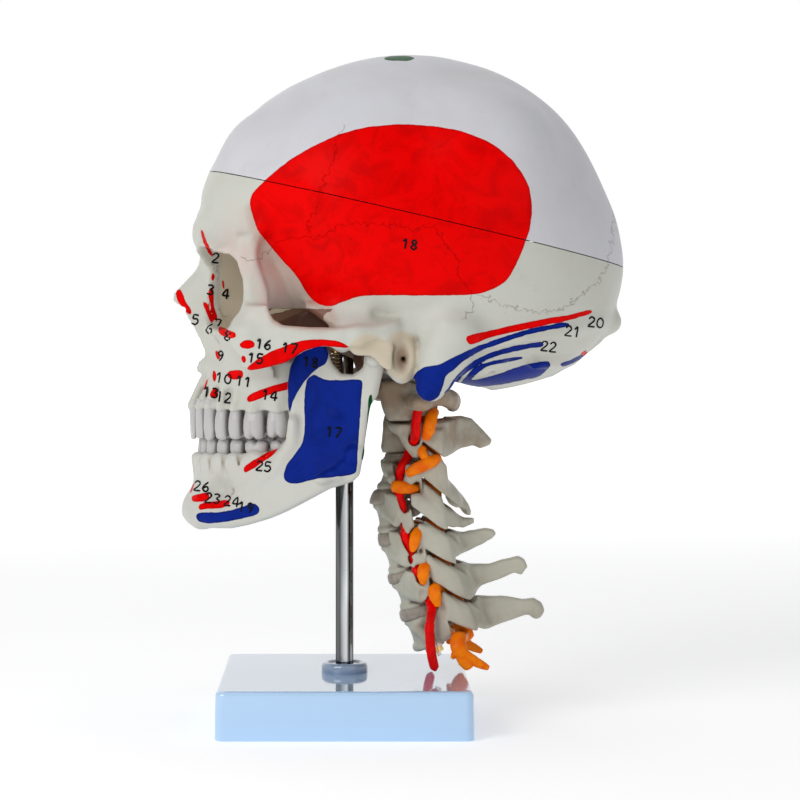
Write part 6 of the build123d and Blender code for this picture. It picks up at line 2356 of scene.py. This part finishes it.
# text and the place (y, z) of its lower corner on the middle plane
SKULL_LEFT = [
    ("18", 25.543, 209.51), ("2", -59.007, 203.28), ("3", -61.232, 189.04),
    ("4", -54.557, 187.26), ("5", -67.907, 175.69), ("6", -61.677, 171.685),
    ("7", -58.117, 173.465), ("8", -53.667, 168.57), ("16", -39.427, 165.01),
    ("17", -27.857, 163.23), ("9", -56.782, 159.67), ("10", -57.227, 149.88),
    ("15", -42.987, 158.78), ("11", -48.327, 148.545), ("12", -57.227, 141.425),
    ("13", -63.012, 143.65), ("14", -36.757, 142.315), ("20", 108.313, 174.8),
    ("21", 98.078, 170.795), ("22", 87.398, 164.12)]
JAW_LEFT = [
    ("18", -18.512, 157.0), ("17", -8.277, 125.85), ("19", -47.437, 92.475),
    ("24", -53.667, 95.145), ("23", -62.122, 96.48), ("25", -39.427, 110.72),
    ("26", -67.017, 101.82)]
SKULL_RIGHT = [
    ("1", -50, 226), ("2", 20, 205), ("3", 70, 195), ("4", -30, 196), ("5", -36, 169),
    ("6", -50, 162), ("7", 38, 158), ("8", -4, 172), ("9", 86, 168)]
JAW_RIGHT = [("10", -4, 126), ("11", -46, 100), ("12", -13, 156)]


def surface_tree(obj):
    return BVHTree.FromPolygons([Vector(place) for place in verts_mm(obj)],
                                [tuple(face.vertices) for face in obj.data.polygons])


def digit_strokes(text, scale):
    """Closely spaced (right, up) places along each digit's stroke, in mm."""
    for index, digit in enumerate(text):
        line = smooth_line([(index * DIGIT_PITCH + a, b) for a, b in DIGITS[digit]], 3)
        dense = []
        for start, end in zip(line, line[1:]):
            steps = max(1, int(np.hypot(*(end - start)) * scale / 0.45))
            dense += [start + (end - start) * j / steps for j in range(steps)]
        dense.append(line[-1])
        yield [(a * scale, b * scale) for a, b in dense]


def make_numerals(name, tree, labels, body, side=1, height=4.2, tilt=-8):
    """Ink strokes thrown onto a bone from an eye on one side: 1 left, -1 right."""
    eye = Vector((side * EYE_X, 0, EYE_Z))
    c, s = math.cos(math.radians(tilt)), math.sin(math.radians(tilt))
    runs = []
    for text, y, z in labels:
        for stroke in digit_strokes(text, height / DIGIT_HEIGHT):
            run = []
            for a, b in stroke:
                target = Vector((0, y + side * (a * c - b * s), z + a * s + b * c))
                place, normal = tree.ray_cast(eye, (target - eye).normalized())[:2]
                if place is None or place.x * side < 0.5:
                    continue
                place = place + normal * 0.02
                # a jump in depth breaks the stroke
                if run and (Vector(run[-1]) - place).length > 2.5:
                    runs.append(run)
                    run = []
                run.append(tuple(place))
            runs.append(run)
    parts = [sweep(run, 0.42, 8) for run in runs if len(run) > 2]
    register(make_object(name, *join_meshes(parts), ink_mat), body)


cranium_tree, mandible_tree = surface_tree(cranium), surface_tree(mandible)
make_numerals("numerals_skull_left", cranium_tree, SKULL_LEFT, "skull")
make_numerals("numerals_jaw_left", mandible_tree, JAW_LEFT, "jaw")
make_numerals("numerals_skull_right", cranium_tree, SKULL_RIGHT, "skull", side=-1)
make_numerals("numerals_jaw_right", mandible_tree, JAW_RIGHT, "jaw", side=-1)

# ------------------------------------------------------------------ carried-over hardware
KEPT_PIECES = {
    "base_cover": cover_mat, "cover_screws": steel_mat, "base_washer": steel_mat,
    "base_nut": steel_mat, "locating_pins": steel_mat, "spring_screws_upper": brass_mat,
    "spring_screws_lower": brass_mat, "core_washer": steel_mat, "core_nut": brass_mat,
    "core_rod_end": steel_mat}
for name, material in KEPT_PIECES.items():
    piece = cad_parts.get(name)
    if piece is None:                  # the frame may lack a piece
        continue
    if len(piece.material_slots) == 0:
        piece.data.materials.append(material)
    for material_slot in piece.material_slots:
        material_slot.link = "OBJECT"
        material_slot.material = material


# ------------------------------------------------------------------ floor, light, camera
def make_floor():
    """A sheet of one-metre squares with a paper look that glows more farther out."""
    count = 25
    mesh = bpy.data.meshes.new("floor")
    verts = [(-14 + 1.0 * i, -12 + 1.0 * j, 0.0) for i in range(count) for j in range(count)]
    corners = [i * count + j for i in range(count - 1) for j in range(count - 1)]
    mesh.from_pydata(verts, [], [(a, a + count, a + count + 1, a + 1) for a in corners])
    floor = bpy.data.objects.new("studio_floor", mesh)
    bpy.context.scene.collection.objects.link(floor)
    look = Look("floor_paper")
    tone = look.mix(look.step(look.noise(3.0, detail=3), 0.3, 0.7), (0.90, 0.90, 0.90),
                    (0.88, 0.88, 0.885))
    grain = look.bump(look.noise(700, detail=2), strength=0.05, distance=0.0002)
    glow = look.step(look.place_length("LENGTH"), 0.35, 2.2, start=0.40, end=0.92)
    mesh.materials.append(look.finish(
        Base_Color=tone, Roughness=0.8, Normal=grain, Specular_IOR_Level=0.05,
        Emission_Color=(1, 1, 1), Emission_Strength=glow))


def make_world(scene):
    """White to the camera and mostly so in reflections, dimmer as a light."""
    world = scene.world or bpy.data.worlds.new("World")
    scene.world = world
    world.use_nodes = True
    nodes, link = world.node_tree.nodes, world.node_tree.links.new
    nodes.clear()
    output = nodes.new("ShaderNodeOutputWorld")
    seen, lighting = nodes.new("ShaderNodeBackground"), nodes.new("ShaderNodeBackground")
    path, mix = nodes.new("ShaderNodeLightPath"), nodes.new("ShaderNodeMixShader")
    for background, colour, strength in ((seen, (1, 1, 1, 1), 1.0),
                                         (lighting, (0.97, 0.98, 1.0, 1), 0.30)):
        background.inputs["Color"].default_value = colour
        background.inputs["Strength"].default_value = strength
    share = nodes.new("ShaderNodeMath")
    share.operation, share.use_clamp = "MULTIPLY_ADD", True
    link(path.outputs["Is Glossy Ray"], share.inputs[0])
    share.inputs[1].default_value = 0.85
    link(path.outputs["Is Camera Ray"], share.inputs[2])
    link(share.outputs[0], mix.inputs[0])
    link(lighting.outputs[0], mix.inputs[1])
    link(seen.outputs[0], mix.inputs[2])
    link(mix.outputs[0], output.inputs["Surface"])


def make_area_light(name, location, size, power, colour=(1, 1, 1)):
    """A rectangular light aimed at the middle of the skull."""
    light = bpy.data.lights.new(name, "AREA")
    light.shape = "RECTANGLE"
    light.size, light.size_y = size
    light.energy = power
    light.color = colour
    obj = bpy.data.objects.new(name, light)
    bpy.context.scene.collection.objects.link(obj)
    obj.location = location
    aim = Vector((0, 0.02, 0.19)) - Vector(location)
    obj.rotation_euler = aim.to_track_quat("-Z", "Y").to_euler()


def make_camera(scene):
    camera = bpy.data.cameras.new("camera")
    camera.lens, camera.sensor_width = 119.16, 36.0
    camera.shift_x, camera.shift_y = 0.0693, -0.1175
    camera.clip_start, camera.clip_end = 0.05, 20
    obj = bpy.data.objects.new("camera", camera)
    scene.collection.objects.link(obj)
    obj.location = (EYE_X * MM, 0, EYE_Z * MM)
    obj.rotation_euler = Vector((-1, 0, 0)).to_track_quat("-Z", "Y").to_euler()
    scene.camera = obj


make_floor()
scene = bpy.context.scene
scene.view_settings.view_transform = "Standard"
scene.view_settings.look = "None"
make_world(scene)
make_area_light("key", (0.95, -0.75, 0.75), size=(0.8, 0.8), power=8.0)
make_area_light("fill", (0.9, 0.8, 0.35), size=(0.9, 1.1), power=0.7, colour=(0.96, 0.97, 1.0))
make_area_light("top", (-0.1, 0.05, 1.3), size=(1.0, 1.0), power=2.6)
make_area_light("rear", (-0.9, -0.2, 0.7), size=(1.2, 0.9), power=1.1)
make_camera(scene)
